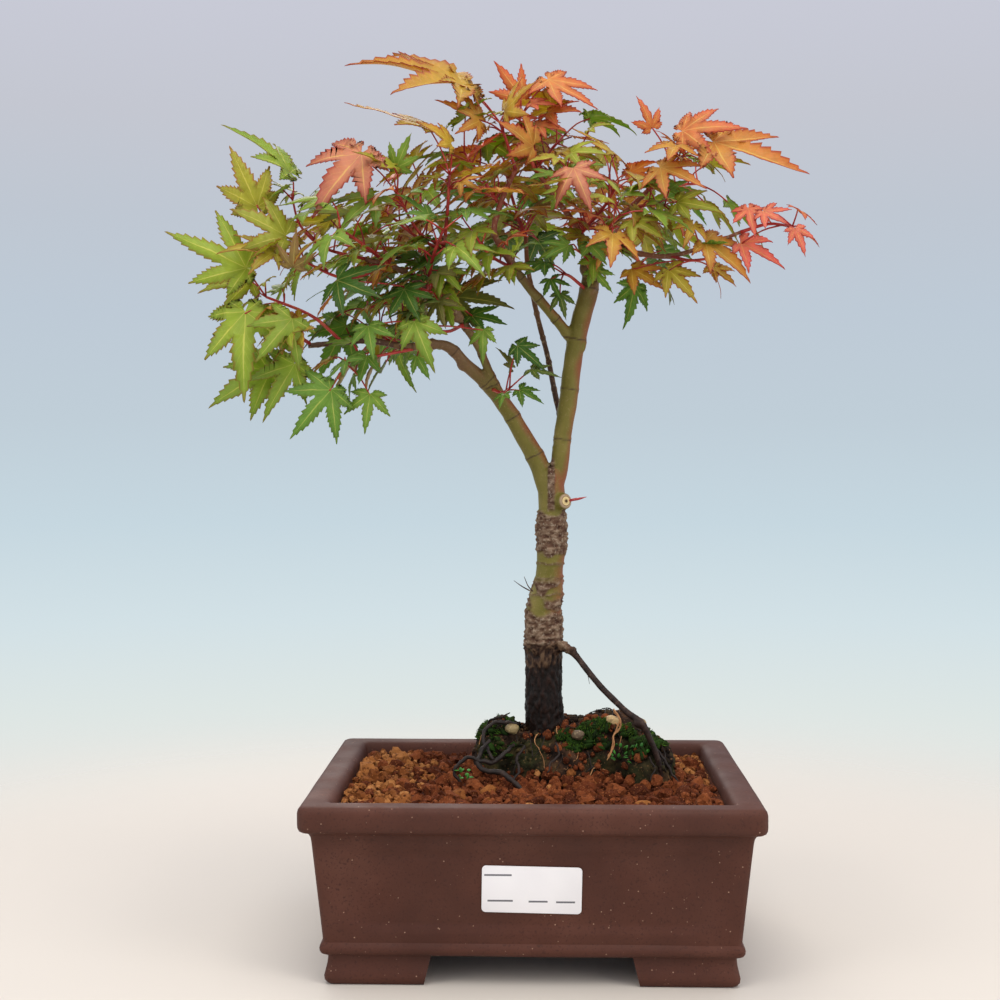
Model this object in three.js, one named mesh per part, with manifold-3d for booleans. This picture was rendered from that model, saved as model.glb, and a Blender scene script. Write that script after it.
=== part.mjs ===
// Japanese maple bonsai, planted in grit in a rectangular unglazed clay pot.
// Millimetres, +Z up. The pot stands on z = 0 and its front faces -Y. The places below are
// counted from the middle of the pot; the last lines move the whole group so that its origin
// is under the middle of the bounding box.
import * as THREE from "three";
import { mergeVertices } from "three/addons/utils/BufferGeometryUtils.js";
import Module from "manifold-3d";

const wasm = await Module();
wasm.setup();

// Driving dimensions
const POT = { width: 222, depth: 172, height: 88, corner: 6 };
const FOOT_HEIGHT = 14;
const FLOOR_TOP = 22;
const RIM_INSET = 15;
const SOIL_TOP = 81.5;
const GAP = 0.35;
const BLADE_THICKNESS = 0.8;
const PETIOLE_RADIUS = 0.7;
const TWIG_RADIUS = 1.0;
const DRAIN = { x: 52, radius: 12, meshSide: 38, meshThickness: 1.2, wireRadius: 0.75 };
const LABEL = { width: 47.5, height: 23, corner: 2, thickness: 0.4, middle: 47.5, turn: -1 };
const PANEL = { width: 170, sideWidth: 122, height: 38, corner: 15, depth: 1.2, middle: 47 };

// ---------------------------------------------------------------- materials

function finish(color, roughness) {
  return new THREE.MeshStandardMaterial({ color, roughness, metalness: 0 });
}

const firedClay = finish(0x5a3c36, 0.65);
const plasticNet = finish(0x2b2b2b, 0.6);
const aluminiumWire = finish(0x8f8f92, 0.4);
const akadama = finish(0x95552f, 0.95);
const oldSoil = finish(0x2d211a, 0.95);
const bark = finish(0x77704a, 0.75);
const moss = finish(0x3f7d22, 0.95);
const pebbleStone = finish(0xa8896a, 0.8);
const labelPaper = finish(0xf1efee, 0.4);
const leafTints = {
  dark: finish(0x3f7f3c, 0.5),
  green: finish(0x5f963f, 0.5),
  lime: finish(0x8fac45, 0.5),
  gold: finish(0xb79a45, 0.5),
  orange: finish(0xc8703f, 0.5),
  coral: finish(0xcf6a63, 0.5),
};

// ---------------------------------------------------------------- solids

function solid(geometry) {
  const bare = geometry.clone();
  bare.deleteAttribute("normal");
  bare.deleteAttribute("uv");
  const merged = mergeVertices(bare, 1e-4);
  return new wasm.Manifold(new wasm.Mesh({
    numProp: 3,
    vertProperties: new Float32Array(merged.attributes.position.array),
    triVerts: new Uint32Array(merged.index.array),
  }));
}

function join(solids) {
  return solids.reduce((whole, next) => whole.add(next));
}

function largestBody(whole) {
  return whole.decompose().reduce((best, next) => (next.volume() > best.volume() ? next : best));
}

const group = new THREE.Group();

function addNode(name, whole, material) {
  const { vertProperties, triVerts } = whole.getMesh();
  const geometry = new THREE.BufferGeometry();
  geometry.setAttribute("position", new THREE.Float32BufferAttribute(vertProperties, 3));
  geometry.setIndex(Array.from(triVerts));
  geometry.computeVertexNormals();
  const mesh = new THREE.Mesh(geometry, material);
  mesh.name = name;
  group.add(mesh);
}

function box(low, high) {
  const size = high.map((value, axis) => value - low[axis]);
  const geometry = new THREE.BoxGeometry(...size);
  return solid(geometry.translate(...low.map((value, axis) => value + size[axis] / 2)));
}

function ellipsoid([x, y, z], [rx, ry, rz], detail = 1) {
  const geometry = new THREE.IcosahedronGeometry(1, detail);
  return solid(geometry.scale(rx, ry, rz).translate(x, y, z));
}

// A limb, twig or wire: a round bar bent through points of [x, y, z, radius].
function limb(points, sides, grow = 0) {
  const places = points.map(([x, y, z]) => new THREE.Vector3(x, y, z));
  const steps = places.length - 1;
  const geometry = new THREE.CylinderGeometry(1, 1, 1, sides, steps);
  const across = new THREE.Vector3();
  const frames = places.map((place, k) => {
    const along = places[Math.min(k + 1, steps)].clone().sub(places[Math.max(k - 1, 0)]).normalize();
    if (k === 0) across.set(Math.abs(along.x) > 0.9 ? 0 : 1, Math.abs(along.x) > 0.9 ? 1 : 0, 0);
    across.addScaledVector(along, -across.dot(along)).normalize();
    return { along, across: across.clone(), beside: along.clone().cross(across) };
  });
  const position = geometry.attributes.position;
  for (let i = 0; i < position.count; i += 1) {
    const k = Math.round((0.5 - position.getY(i)) * steps);
    const { along, across: out, beside } = frames[k];
    const radius = points[k][3] + grow;
    const place = places[k].clone()
      .addScaledVector(out, position.getX(i) * radius)
      .addScaledVector(beside, position.getZ(i) * radius);
    if (k === 0) place.addScaledVector(along, -grow);
    if (k === steps) place.addScaledVector(along, grow);
    position.setXYZ(i, place.x, place.y, place.z);
  }
  return solid(geometry);
}

// ---------------------------------------------------------------- pot

function roundedRectangle(width, depth, corner) {
  const [x, y] = [width / 2 - corner, depth / 2 - corner];
  const shape = new THREE.Shape();
  shape.absarc(x, y, corner, 0, Math.PI / 2);
  shape.absarc(-x, y, corner, Math.PI / 2, Math.PI);
  shape.absarc(-x, -y, corner, Math.PI, 1.5 * Math.PI);
  shape.absarc(x, -y, corner, 1.5 * Math.PI, 2 * Math.PI);
  shape.closePath();
  return shape;
}

// A rounded rectangle carried up through levels of [height, inset from the rim's outline].
function potStack(levels) {
  const smallest = 2;
  const { width, depth, corner } = POT;
  const geometry = new THREE.ExtrudeGeometry(roundedRectangle(width, depth, corner), {
    depth: levels.length - 1, steps: levels.length - 1, bevelEnabled: false, curveSegments: 2,
  });
  const position = geometry.attributes.position;
  for (let i = 0; i < position.count; i += 1) {
    const [height, inset] = levels[Math.round(position.getZ(i))];
    const radius = Math.max(corner - inset, smallest);
    const place = [width, depth].map((size, axis) => {
      const value = position.getComponent(i, axis);
      const fromCorner = (Math.abs(value) - (size / 2 - corner)) / corner;
      return Math.sign(value) * (size / 2 - inset - radius + fromCorner * radius);
    });
    position.setXYZ(i, place[0], place[1], height);
  }
  return solid(geometry);
}

// The outside from the soles up: flared feet, bead ledge, leaning wall, cove and rolled rim.
const OUTSIDE = [
  [0, 13], [3, 11.6], [13, 13.2], [14.6, 13], [15.6, 10], [19.6, 9.6], [20.8, 11],
  [70, 6.2], [74.5, 5], [75.6, 0.8], [77.5, 0], [86, 0], [88, 2],
];
const WALL = { bottom: 20.8, bottomInset: 11, top: 70, topInset: 6.2 };

function wallInset(height) {
  const share = (height - WALL.bottom) / (WALL.top - WALL.bottom);
  return WALL.bottomInset + share * (WALL.topInset - WALL.bottomInset);
}

// A rounded plate lying on the front wall (turn 0), or on another wall at a quarter turn each.
function wallPlate(width, height, corner, thickness, middle, outward, turn, roll = 0) {
  const geometry = new THREE.ExtrudeGeometry(roundedRectangle(width, height, corner), {
    depth: thickness, bevelEnabled: false, curveSegments: 2,
  });
  const half = (turn % 2 === 0 ? POT.depth : POT.width) / 2;
  const lean = Math.atan((WALL.bottomInset - WALL.topInset) / (WALL.top - WALL.bottom));
  geometry.rotateZ(THREE.MathUtils.degToRad(roll));
  geometry.translate(0, 0, outward);
  geometry.rotateX(Math.PI / 2 + lean);
  geometry.translate(0, -(half - wallInset(middle)), middle);
  geometry.rotateZ((turn * Math.PI) / 2);
  return solid(geometry);
}

function drainBore(x, radius) {
  const geometry = new THREE.CylinderGeometry(radius, radius, 2 * FLOOR_TOP, 20);
  return solid(geometry.rotateX(Math.PI / 2).translate(x, 0, 0));
}

function makePot() {
  const cavity = potStack([
    [FLOOR_TOP, 27], [27, 21], [80, RIM_INSET + 1], [86, RIM_INSET], [POT.height + 1, RIM_INSET - 1.6],
  ]);
  const underFloor = potStack([[-1, 28], [FOOT_HEIGHT, 29]]);
  const frontGap = box([-48, -POT.depth, -1], [48, POT.depth, FOOT_HEIGHT]);
  const frontSlope = [-1, 1].map((side) => box([-6, -POT.depth, -2], [6, POT.depth, FOOT_HEIGHT])
    .rotate([0, -side * 18, 0]).translate([side * 46.5, 0, 0]));
  const belowFloor = box([-POT.width, -POT.depth, -3], [POT.width, POT.depth, FOOT_HEIGHT]);
  const sideGap = box([-POT.width, -32, -1], [POT.width, 32, FOOT_HEIGHT]);
  const gaps = join([frontGap, sideGap, underFloor, ...frontSlope]).intersect(belowFloor);
  const { width, sideWidth, height, corner, depth, middle } = PANEL;
  const panels = [0, 1, 2, 3].map((turn) => wallPlate(
    turn % 2 === 0 ? width : sideWidth, height, corner, 2 * depth, middle, -depth, turn));
  const bores = [-DRAIN.x, DRAIN.x].map((x) => drainBore(x, DRAIN.radius));
  return potStack(OUTSIDE).subtract(join([cavity, gaps, ...panels, ...bores]));
}

addNode("pot", makePot(), firedClay);

// ---------------------------------------------------------------- drain meshes and their wires

function makeDrainMesh(x) {
  const { meshSide, meshThickness } = DRAIN;
  const [pitch, hole, bottom] = [11.5, 8.5, FLOOR_TOP + GAP];
  const slab = (cx, cy, side, low, high) => box(
    [cx - side / 2, cy - side / 2, low], [cx + side / 2, cy + side / 2, high]);
  const holes = [-pitch, 0, pitch].flatMap((i) => [-pitch, 0, pitch].map(
    (j) => slab(x + i, j, hole, bottom - 1, bottom + meshThickness + 1)));
  return slab(x, 0, meshSide, bottom, bottom + meshThickness).subtract(join(holes));
}

// A staple of wire: its crown lies on the net, its legs pass the hole and turn out below.
function makeMeshWire(x) {
  const { wireRadius: r, meshThickness } = DRAIN;
  const under = FOOT_HEIGHT - GAP - r;
  const over = FLOOR_TOP + 2 * GAP + meshThickness + r;
  return limb([
    [x - 19, 0, under, r], [x - 10.8, 0, under, r], [x - 9.8, 0, under + 1.5, r],
    [x - 9.8, 0, over - 1, r], [x - 8.6, 0, over, r], [x + 8.6, 0, over, r],
    [x + 9.8, 0, over - 1, r], [x + 9.8, 0, under + 1.5, r], [x + 10.8, 0, under, r],
    [x + 19, 0, under, r],
  ], 6);
}

for (const [side, x] of [["left", -DRAIN.x], ["right", DRAIN.x]]) {
  addNode(`drain_mesh_${side}`, makeDrainMesh(x), plasticNet);
  addNode(`mesh_wire_${side}`, makeMeshWire(x), aluminiumWire);
}

// ---------------------------------------------------------------- the tree's wood

// One grown piece: trunk, limbs, branches, the aerial root and the roots in the soil.
const WOOD = [
  { sides: 10, points: [
    [7, 24, 86, 13], [7, 22, 98, 12.4], [7, 22, 106, 10.9], [6, 21, 122, 10], [6, 21, 139, 9.8],
    [6, 20, 151, 10], [6, 19, 169, 9.2], [8, 19, 180, 8.5], [9, 18, 192, 7.2], [10, 18, 206, 7.9],
    [10, 18, 216, 7.7], [10, 18, 224, 6.9], [10, 18, 235, 7.4], [9, 18, 246, 7],
  ] },
  // right limb up to the pruning knuckle, and the sawn stub beside it
  { sides: 8, points: [
    [11, 18, 236, 4.6], [15, 18, 250, 4.6], [16, 18, 264, 4.7], [19, 18, 284, 4.9],
    [23, 18, 314, 5.1], [30, 18, 339, 5.3], [31, 18, 349, 4.8], [31, 18, 358, 5.2],
  ] },
  { sides: 6, points: [
    [31, 15, 355, 3.4], [36, 10, 360, 3.2], [42, 7, 366, 3.2], [49, 4, 364, 2.9],
  ] },
  // left limb, running out low to the left
  { sides: 8, points: [
    [8, 17, 238, 5], [3, 18, 250, 5.3], [-4, 17, 262, 4.8], [-13, 14, 277, 4.4],
    [-23, 10, 290, 4], [-34, 4, 300, 3.4], [-43, -1, 309, 3], [-51, -5, 311, 2.3],
    [-64, -10, 309, 1.8], [-86, -15, 312, 1.5], [-114, -22, 309, 1.4],
  ] },
  // upper left branch and the twig that climbs from its pruned node
  { sides: 5, points: [
    [-14, 12, 279, 2.6], [-20, 8, 291, 2.4], [-29, 0, 311, 2.1], [-36, -3, 322, 2],
    [-41, -6, 330, 1.8], [-52, -10, 338, 1.6], [-68, -18, 348, 1.4], [-85, -20, 353, 1.2],
  ] },
  { sides: 4, points: [
    [-38, -4, 324, 1.8], [-43, -8, 334, 1.6], [-43, -10, 353, 1.5], [-46, -12, 366, 1.3],
  ] },
  // branch that leaves the right limb to the left, and its climbing end
  { sides: 5, points: [
    [20, 18, 316, 2.9], [11, 14, 327, 2.7], [1, 8, 338, 2.4], [-8, 2, 349, 2.1],
    [-16, -4, 361, 1.8], [-20, -8, 369, 1.6], [-16, -6, 385, 1.4], [-9, -2, 401, 1.2],
  ] },
  // thin shoot behind the fork
  { sides: 4, points: [
    [18, 23, 266, 1.8], [13, 30, 282, 1.5], [8, 34, 307, 1.5], [2, 38, 331, 1.5],
    [-3, 42, 357, 1.4], [-4, 44, 374, 1.2],
  ] },
  // shoots from the knuckle: crown, upper right, right
  { sides: 4, points: [
    [30, 16, 356, 2], [24, 12, 372, 1.7], [12, 7, 388, 1.4], [1, 6, 403, 1.2],
  ] },
  { sides: 4, points: [
    [32, 16, 356, 2.2], [36, 12, 370, 1.7], [49, 6, 381, 1.5], [61, 0, 392, 1.3],
  ] },
  { sides: 4, points: [
    [46, 6, 364, 1.8], [50, 4, 360, 1.4], [69, -4, 356, 1.3], [88, -12, 360, 1.1],
    [105, -20, 366, 1],
  ] },
  // branches that fill the back of the crown
  { sides: 4, points: [
    [31, 20, 352, 2.6], [36, 34, 362, 2], [42, 52, 374, 1.6], [50, 66, 382, 1.3],
  ] },
  { sides: 4, points: [
    [-33, 1, 318, 2], [-48, 14, 340, 1.7], [-62, 32, 356, 1.5], [-78, 48, 364, 1.3],
  ] },
  // aerial root, from the trunk down to the soil
  { sides: 6, points: [
    [10, 18, 147, 2.4], [17, 12, 151, 2], [23, 8, 147, 1.8], [35, 0, 133, 1.7],
    [48, -8, 121, 1.7], [56, -11, 115, 2.1], [61, -11, 106, 1.8], [65, -11, 96, 1.6],
    [67, -10, 86, 1.3],
  ] },
  // buried roots
  { sides: 4, points: [[2, 24, 92, 5], [-16, 26, 78, 3], [-32, 24, 56, 1.4]] },
  { sides: 4, points: [[12, 26, 92, 5], [34, 32, 74, 3], [54, 30, 52, 1.4]] },
  { sides: 4, points: [[8, 18, 90, 5], [8, 2, 70, 3], [0, -8, 50, 1.4]] },
];

const tree = join(WOOD.map(({ points, sides }) => limb(points, sides)));
const treeFat = join(WOOD.map(({ points, sides }) => limb(points, sides, GAP)));
addNode("tree_wood", tree, bark);

// ---------------------------------------------------------------- pebbles, root ball, moss, soil

const PEBBLES = {
  pebble_left: [[-11, 9, 108], [3.6, 3.2, 2.8]],
  pebble_middle: [[24, 3, 106], [3.2, 2.8, 2.6]],
  pebble_right: [[42, 10, 112.5], [4.2, 3.4, 2.8]],
  pebble_end: [[57, 20, 109.5], [3.8, 3.2, 2.8]],
};
const pebbles = Object.entries(PEBBLES).map(([name, [place, radii]]) => ({
  name,
  whole: ellipsoid(place, radii),
  fat: ellipsoid(place, radii.map((radius) => radius + 1.3 * GAP)),
}));
const pebblesFat = join(pebbles.map(({ fat }) => fat));

// The old soil that the roots hold, left standing as a mound when the tree was repotted.
const MOUND = [
  [[18, 26, 70], [52, 34, 41]],
  [[-16, 20, 86], [16, 17, 26]],
  [[42, 20, 88], [26, 21, 28]],
  [[61, 3, 84], [15, 17, 21]],
];

function mound(grow) {
  return join(MOUND.map(([place, radii]) => ellipsoid(place, radii.map((r) => r + grow))));
}

const rootBall = largestBody(mound(0).subtract(treeFat).subtract(pebblesFat));

for (const { name, whole } of pebbles) addNode(name, whole, pebbleStone);
addNode("root_ball", rootBall, oldSoil);

const MOSS = {
  moss_left: [[-20, 12, 104], [14, 13, 12]],
  moss_front: [[28, 2, 106], [22, 14, 9]],
  moss_right: [[52, 6, 104], [17, 15, 12]],
};
let mossFat = [];
for (const [name, [place, radii]] of Object.entries(MOSS)) {
  const sheet = mound(3).intersect(ellipsoid(place, radii));
  const clear = join([mound(2 * GAP), treeFat, pebblesFat, ...mossFat]);
  addNode(name, largestBody(sheet.subtract(clear)), moss);
  mossFat = [...mossFat, ellipsoid(place, radii.map((radius) => radius + GAP))];
}

function makeSoilBed() {
  const bed = potStack([
    [FLOOR_TOP + GAP, 27 + GAP], [27, 21 + GAP + 0.1], [80, RIM_INSET + 1 + GAP + 0.05],
    [SOIL_TOP, RIM_INSET + 0.75 + GAP + 0.05],
  ]);
  const half = DRAIN.meshSide / 2 + 1;
  const top = FLOOR_TOP + DRAIN.meshThickness + 2 * DRAIN.wireRadius + 4 * GAP;
  const overMeshes = [-DRAIN.x, DRAIN.x].map((x) => box([x - half, -half, FLOOR_TOP], [x + half, half, top]));
  return bed.subtract(join([mound(2 * GAP), treeFat, ...overMeshes]));
}

addNode("soil_bed", largestBody(makeSoilBed()), akadama);

// ---------------------------------------------------------------- label

{
  const { width, height, corner, thickness, middle, turn } = LABEL;
  const outward = GAP - PANEL.depth;
  addNode("label", wallPlate(width, height, corner, thickness, middle, outward, 0, turn), labelPaper);
}

// ---------------------------------------------------------------- leafy shoots

// Each shoot is a twig with its leaves, which grew as one piece. A leaf is written as
// [x, y, z of its base, x, y, z of its middle lobe's tip, face], where face is the tilt of its
// upper side from straight up (0) to straight at the front (90).
const SHOOTS = {
  crown_top_left: { tint: "gold", twig: [[-9, -3, 401], [-13, -3, 414], [-17, -4, 425]], leaves: [
    [-36, -10, 443, -92, -22, 460, 12], [-31, -2, 441, -65, -16, 454, 25],
    [-27, -14, 424, -46, -30, 433, 60], [-14, -16, 428, -2, -34, 440, 60],
  ] },
  crown_top_right: { tint: "orange", twig: [[1, 6, 403], [-5, 6, 418], [-7, 3, 429]], leaves: [
    [-6, 0, 438, -18, -14, 454, 70], [8, 4, 449, 34, -6, 432, 40],
    [8, 10, 433, 24, -6, 432, 50], [0, -14, 411, -16, -32, 420, 75],
  ] },
  crown_left: { tint: "gold", twig: [[-45, -11, 365], [-43, -19, 381], [-42, -22, 395]], leaves: [
    [-41, -30, 409, -54, -46, 418, 60], [-52, -10, 421, -95, -18, 435, 35],
    [-31, -34, 393, -19, -60, 395, 30], [-14, -40, 383, -16, -66, 382, 20],
  ] },
  crown_left_low: { tint: "lime", twig: [[-45, -13, 361], [-58, -18, 367], [-68, -28, 385]], leaves: [
    [-68, -30, 397, -61, -36, 413, 80], [-69, -34, 397, -88, -48, 402, 40],
    [-85, -36, 403, -108, -56, 373, 85], [-78, -34, 382, -95, -54, 366, 45],
  ] },
  left_top: { tint: "lime", twig: [
    [-84, -19, 353], [-106, -18, 359], [-118, -20, 370], [-122, -20, 383],
  ], leaves: [
    [-123, -20, 397, -150, -26, 427, 20], [-123, -6, 390, -133, -22, 391, 40],
    [-111, -40, 374, -95, -60, 374, 40],
  ] },
  left_upper_outer: { tint: "lime", twig: [
    [-74, -19, 349], [-95, -24, 343], [-115, -27, 351], [-126, -29, 356],
  ], leaves: [
    [-138, -30, 378, -151, -36, 408, 75], [-123, -34, 363, -147, -46, 376, 65],
    [-128, -36, 355, -153, -50, 357, 45], [-118, -42, 346, -115, -58, 360, 85],
  ] },
  left_outer: { tint: "lime", twig: [[-98, -19, 312], [-112, -25, 324], [-134, -30, 333]], leaves: [
    [-143, -34, 347, -181, -44, 365, 65], [-144, -16, 343, -168, -28, 340, 60],
    [-143, -38, 325, -141, -58, 282, 90],
  ] },
  left_mid: { tint: "green", twig: [[-113, -23, 310], [-118, -27, 313], [-122, -30, 312]], leaves: [
    [-119, -42, 321, -135, -54, 299, 88], [-119, -34, 299, -134, -44, 271, 78],
    [-133, -26, 296, -162, -38, 281, 72],
  ] },
  left_low: { tint: "green", twig: [[-62, -10, 308], [-74, -18, 305], [-94, -31, 300]], leaves: [
    [-100, -40, 286, -119, -50, 263, 85], [-81, -36, 284, -83, -44, 265, 85],
    [-83, -32, 303, -86, -42, 288, 80], [-97, -2, 321, -112, -8, 294, 80],
  ] },
  centre_low: { tint: "green", twig: [[-36, -5, 321], [-45, -10, 317], [-58, -28, 320]], leaves: [
    [-58, -46, 319, -48, -56, 295, 88], [-81, -44, 317, -77, -56, 300, 82],
    [-59, -20, 304, -52, -26, 292, 80], [-25, -24, 317, -25, -32, 300, 82],
  ] },
  centre_mid: { tint: "dark", twig: [[-42, -8, 331], [-46, -16, 334], [-52, -26, 336]], leaves: [
    [-96, -46, 339, -73, -64, 330, 70], [-64, -34, 336, -55, -52, 320, 70],
    [-32, -2, 326, -13, -8, 321, 45], [-43, 12, 337, -11, 2, 334, 60],
  ] },
  fork_shoot: { tint: "dark", twig: [[-21, 7, 288], [-16, 0, 286], [-12, -6, 288]], leaves: [
    [-8, -6, 310, 7, -12, 298, 60], [-1, -8, 298, 15, -14, 294, 35],
    [-7, -9, 287, 6, -14, 280, 45], [-11, 0, 299, -18, -4, 310, 30],
  ] },
  right_limb_shoot: { tint: "dark", twig: [[28, 13, 341], [20, 7, 347], [16, 2, 348]], leaves: [
    [14, -4, 337, 17, -10, 324, 88], [9, -2, 345, 15, -8, 333, 60],
    [6, -6, 353, -5, -16, 345, 40],
  ] },
  knuckle_shoot: { tint: "green", twig: [[30, 13, 352], [27, 2, 357], [23, -6, 359]], leaves: [
    [18, -16, 360, 7, -26, 354, 78], [31, -6, 349, 41, -14, 337, 60],
    [29, -14, 361, 37, -30, 350, 50],
  ] },
  right_top: { tint: "orange", twig: [[61, 0, 391], [70, -4, 401], [75, -6, 406]], leaves: [
    [91, -20, 411, 137, -34, 393, 72], [76, -14, 418, 105, -30, 420, 60],
    [61, -8, 421, 54, -14, 436, 72], [72, -22, 409, 66, -44, 398, 50],
    [64, -22, 398, 85, -40, 387, 55],
  ] },
  right_mid: { tint: "lime", twig: [[51, 5, 382], [60, -1, 383], [68, -4, 382]], leaves: [
    [73, -20, 381, 93, -34, 377, 65], [50, -22, 372, 65, -36, 362, 55],
    [55, -10, 392, 61, -30, 394, 40], [64, 10, 380, 87, 4, 375, 30],
  ] },
  right_low: { tint: "gold", twig: [[71, -5, 356], [80, -11, 353], [88, -16, 353]], leaves: [
    [87, -20, 361, 110, -30, 343, 45], [81, -20, 370, 75, -34, 357, 80],
    [69, -14, 348, 83, -24, 332, 68], [51, -2, 350, 67, -14, 340, 50],
    [92, -8, 350, 104, -14, 340, 40],
  ] },
  right_outer: { tint: "coral", twig: [[105, -20, 366], [118, -26, 369], [129, -30, 367]], leaves: [
    [108, -24, 377, 110, -36, 362, 75], [115, -28, 375, 126, -40, 366, 60],
    [130, -32, 366, 135, -38, 353, 60], [105, -18, 361, 127, -26, 349, 55],
  ] },
  crown_right: { tint: "lime", twig: [[13, 5, 387], [16, -8, 390], [19, -18, 395]], leaves: [
    [20, -38, 395, 28, -54, 375, 80], [29, 0, 422, 40, -8, 425, 40],
    [19, -20, 406, 36, -34, 406, 55], [6, -44, 386, 13, -68, 384, 30],
  ] },
};

// Shoots inside and behind, whose leaves stand in crossed pairs: [tint, leaves, leaf size, twig].
const FILLING = {
  inner_left: ["lime", 5, 30, [[-45, -8, 358], [-62, -1, 368], [-76, 2, 380]]],
  inner_centre: ["green", 5, 28, [[-9, 1, 350], [-22, -12, 356], [-30, -20, 366]]],
  inner_right: ["lime", 5, 28, [[26, 12, 371], [38, 2, 384], [44, -8, 394]]],
  inner_top: ["gold", 5, 28, [[-18, -5, 384], [-28, 2, 400], [-36, 6, 412]]],
  centre_front: ["green", 5, 27, [[-54, -12, 339], [-50, -30, 352], [-44, -42, 364]]],
  right_front: ["lime", 5, 27, [[32, 11, 360], [37, -6, 368], [44, -24, 374]]],
  back_left: ["lime", 5, 32, [[-78, 48, 364], [-94, 55, 368], [-108, 58, 372]]],
  back_left_top: ["gold", 5, 30, [[-62, 33, 357], [-62, 40, 378], [-62, 44, 396]]],
  back_centre: ["green", 5, 30, [[-4, 45, 375], [-8, 56, 382], [-12, 68, 388]]],
  back_top: ["gold", 5, 30, [[-5, 43, 374], [-12, 38, 396], [-16, 36, 414]]],
  back_right: ["lime", 5, 30, [[50, 67, 382], [58, 72, 386], [66, 75, 388]]],
  back_right_top: ["orange", 5, 28, [[42, 52, 375], [42, 48, 394], [42, 46, 408]]],
  right_back: ["gold", 5, 28, [[60, 2, 392], [76, 14, 396], [88, 22, 398]]],
  left_back_low: ["green", 5, 28, [[-66, -9, 309], [-76, 8, 314], [-86, 22, 320]]],
  inner_left_low: ["green", 5, 28, [[-58, -12, 341], [-74, -3, 334], [-88, 4, 330]]],
  left_inner_front: ["green", 5, 28, [[-72, -20, 349], [-84, -36, 358], [-94, -46, 364]]],
  back_left_low: ["green", 5, 30, [[-64, 34, 356], [-74, 46, 344], [-82, 56, 338]]],
  back_right_low: ["green", 5, 28, [[43, 53, 373], [56, 58, 364], [66, 62, 358]]],
  crown_back: ["gold", 5, 28, [[2, 7, 404], [10, 18, 416], [16, 24, 424]]],
};

// The outlines, as [angle from the middle lobe, distance], for a leaf one unit long.
const FIVE_LOBES = [[0, 1], [24, 0.38], [47, 0.85], [73, 0.3], [100, 0.52], [180, 0.05]];
const THREE_LOBES = [[0, 1], [27, 0.36], [56, 0.7], [180, 0.06]];
const SMALL_LEAF = 31;
const TWIG_UP = 0.22;
const BLADE_SHARES = [1, 0.85, 0.7, 0.55, 0.4];

function vector(values) {
  return new THREE.Vector3(...values);
}

// The place at a share of the way along a row of points.
function pointAlong(points, share) {
  const path = new THREE.CurvePath();
  for (let k = 1; k < points.length; k += 1) {
    path.add(new THREE.LineCurve3(vector(points[k - 1]), vector(points[k])));
  }
  return path.getPointAt(share);
}

function blade({ base, tip, up, plain }, grow) {
  const length = base.distanceTo(tip);
  const along = tip.clone().sub(base).normalize();
  const upper = up.clone().addScaledVector(along, -up.dot(along)).normalize();
  const across = along.clone().cross(upper);
  const half = plain || length < SMALL_LEAF ? THREE_LOBES : FIVE_LOBES;
  const outline = [...half, ...half.slice(1, -1).reverse().map(([angle, reach]) => [-angle, reach])];
  const shape = new THREE.Shape(outline.map(([angle, reach]) => {
    const turn = THREE.MathUtils.degToRad(angle);
    const distance = reach * length + grow;
    return new THREE.Vector2(distance * Math.sin(turn), distance * Math.cos(turn));
  }));
  const thickness = BLADE_THICKNESS + 2 * grow;
  const geometry = new THREE.ExtrudeGeometry(shape, { depth: thickness, bevelEnabled: false });
  const place = new THREE.Matrix4().makeBasis(across, along, upper).setPosition(base);
  return solid(geometry.translate(0, 0, -thickness / 2).applyMatrix4(place));
}

function petiole({ start, base, tip }, grow) {
  const inside = base.clone().lerp(tip, 0.06);
  const points = [start, inside].map((place) => [place.x, place.y, place.z, PETIOLE_RADIUS]);
  return limb(points, 3, grow);
}

function placedLeaf(twig, index, values) {
  const face = THREE.MathUtils.degToRad(values[6]);
  return {
    start: pointAlong(twig, 1 - TWIG_UP * Math.floor(index / 2)),
    base: vector(values.slice(0, 3)),
    tip: vector(values.slice(3, 6)),
    up: new THREE.Vector3(0, -Math.sin(face), Math.cos(face)),
  };
}

// Crossed pairs, each leaf on a petiole that leans outwards, with its blade hanging outwards.
function pairedLeaf(twig, index, size, shoot) {
  const spread = ((index + 1) * 0.618 + shoot * 0.382) % 1;
  const pair = Math.floor(index / 2);
  const start = pointAlong(twig, 1 - TWIG_UP * pair);
  const along = vector(twig.at(-1)).sub(vector(twig.at(0))).normalize();
  const level = new THREE.Vector3(along.y, -along.x, 0).normalize();
  const rising = level.clone().cross(along);
  const turn = (pair * Math.PI) / 2 + (index % 2) * Math.PI + shoot * 0.7;
  const out = level.clone().multiplyScalar(Math.cos(turn)).addScaledVector(rising, Math.sin(turn));
  const stalk = out.clone().addScaledVector(along, 0.5).add(new THREE.Vector3(0, 0, 0.25)).normalize();
  const base = start.clone().addScaledVector(stalk, size * (0.5 + 0.2 * spread));
  const lay = out.clone().addScaledVector(along, 0.6);
  lay.z = lay.z * 0.5 - 0.25 - 0.3 * spread;
  const tip = base.clone().addScaledVector(lay.normalize(), size * (0.85 + 0.3 * spread));
  const outward = new THREE.Vector3(base.x - 10, base.y - 18, 0).normalize();
  const up = outward.multiplyScalar(0.5 + 0.4 * spread).add(new THREE.Vector3(0, 0, 1));
  return { start, base, tip, up, plain: true };
}

const shoots = [
  ...Object.entries(SHOOTS).map(([name, { tint, twig, leaves }]) => ({
    name, tint, twig, leaves: leaves.map((values, index) => placedLeaf(twig, index, values)),
  })),
  ...Object.entries(FILLING).map(([name, [tint, count, size, twig]], shoot) => ({
    name, tint, twig,
    leaves: Array.from({ length: count }, (_, index) => pairedLeaf(twig, index, size, shoot)),
  })),
];

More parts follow.
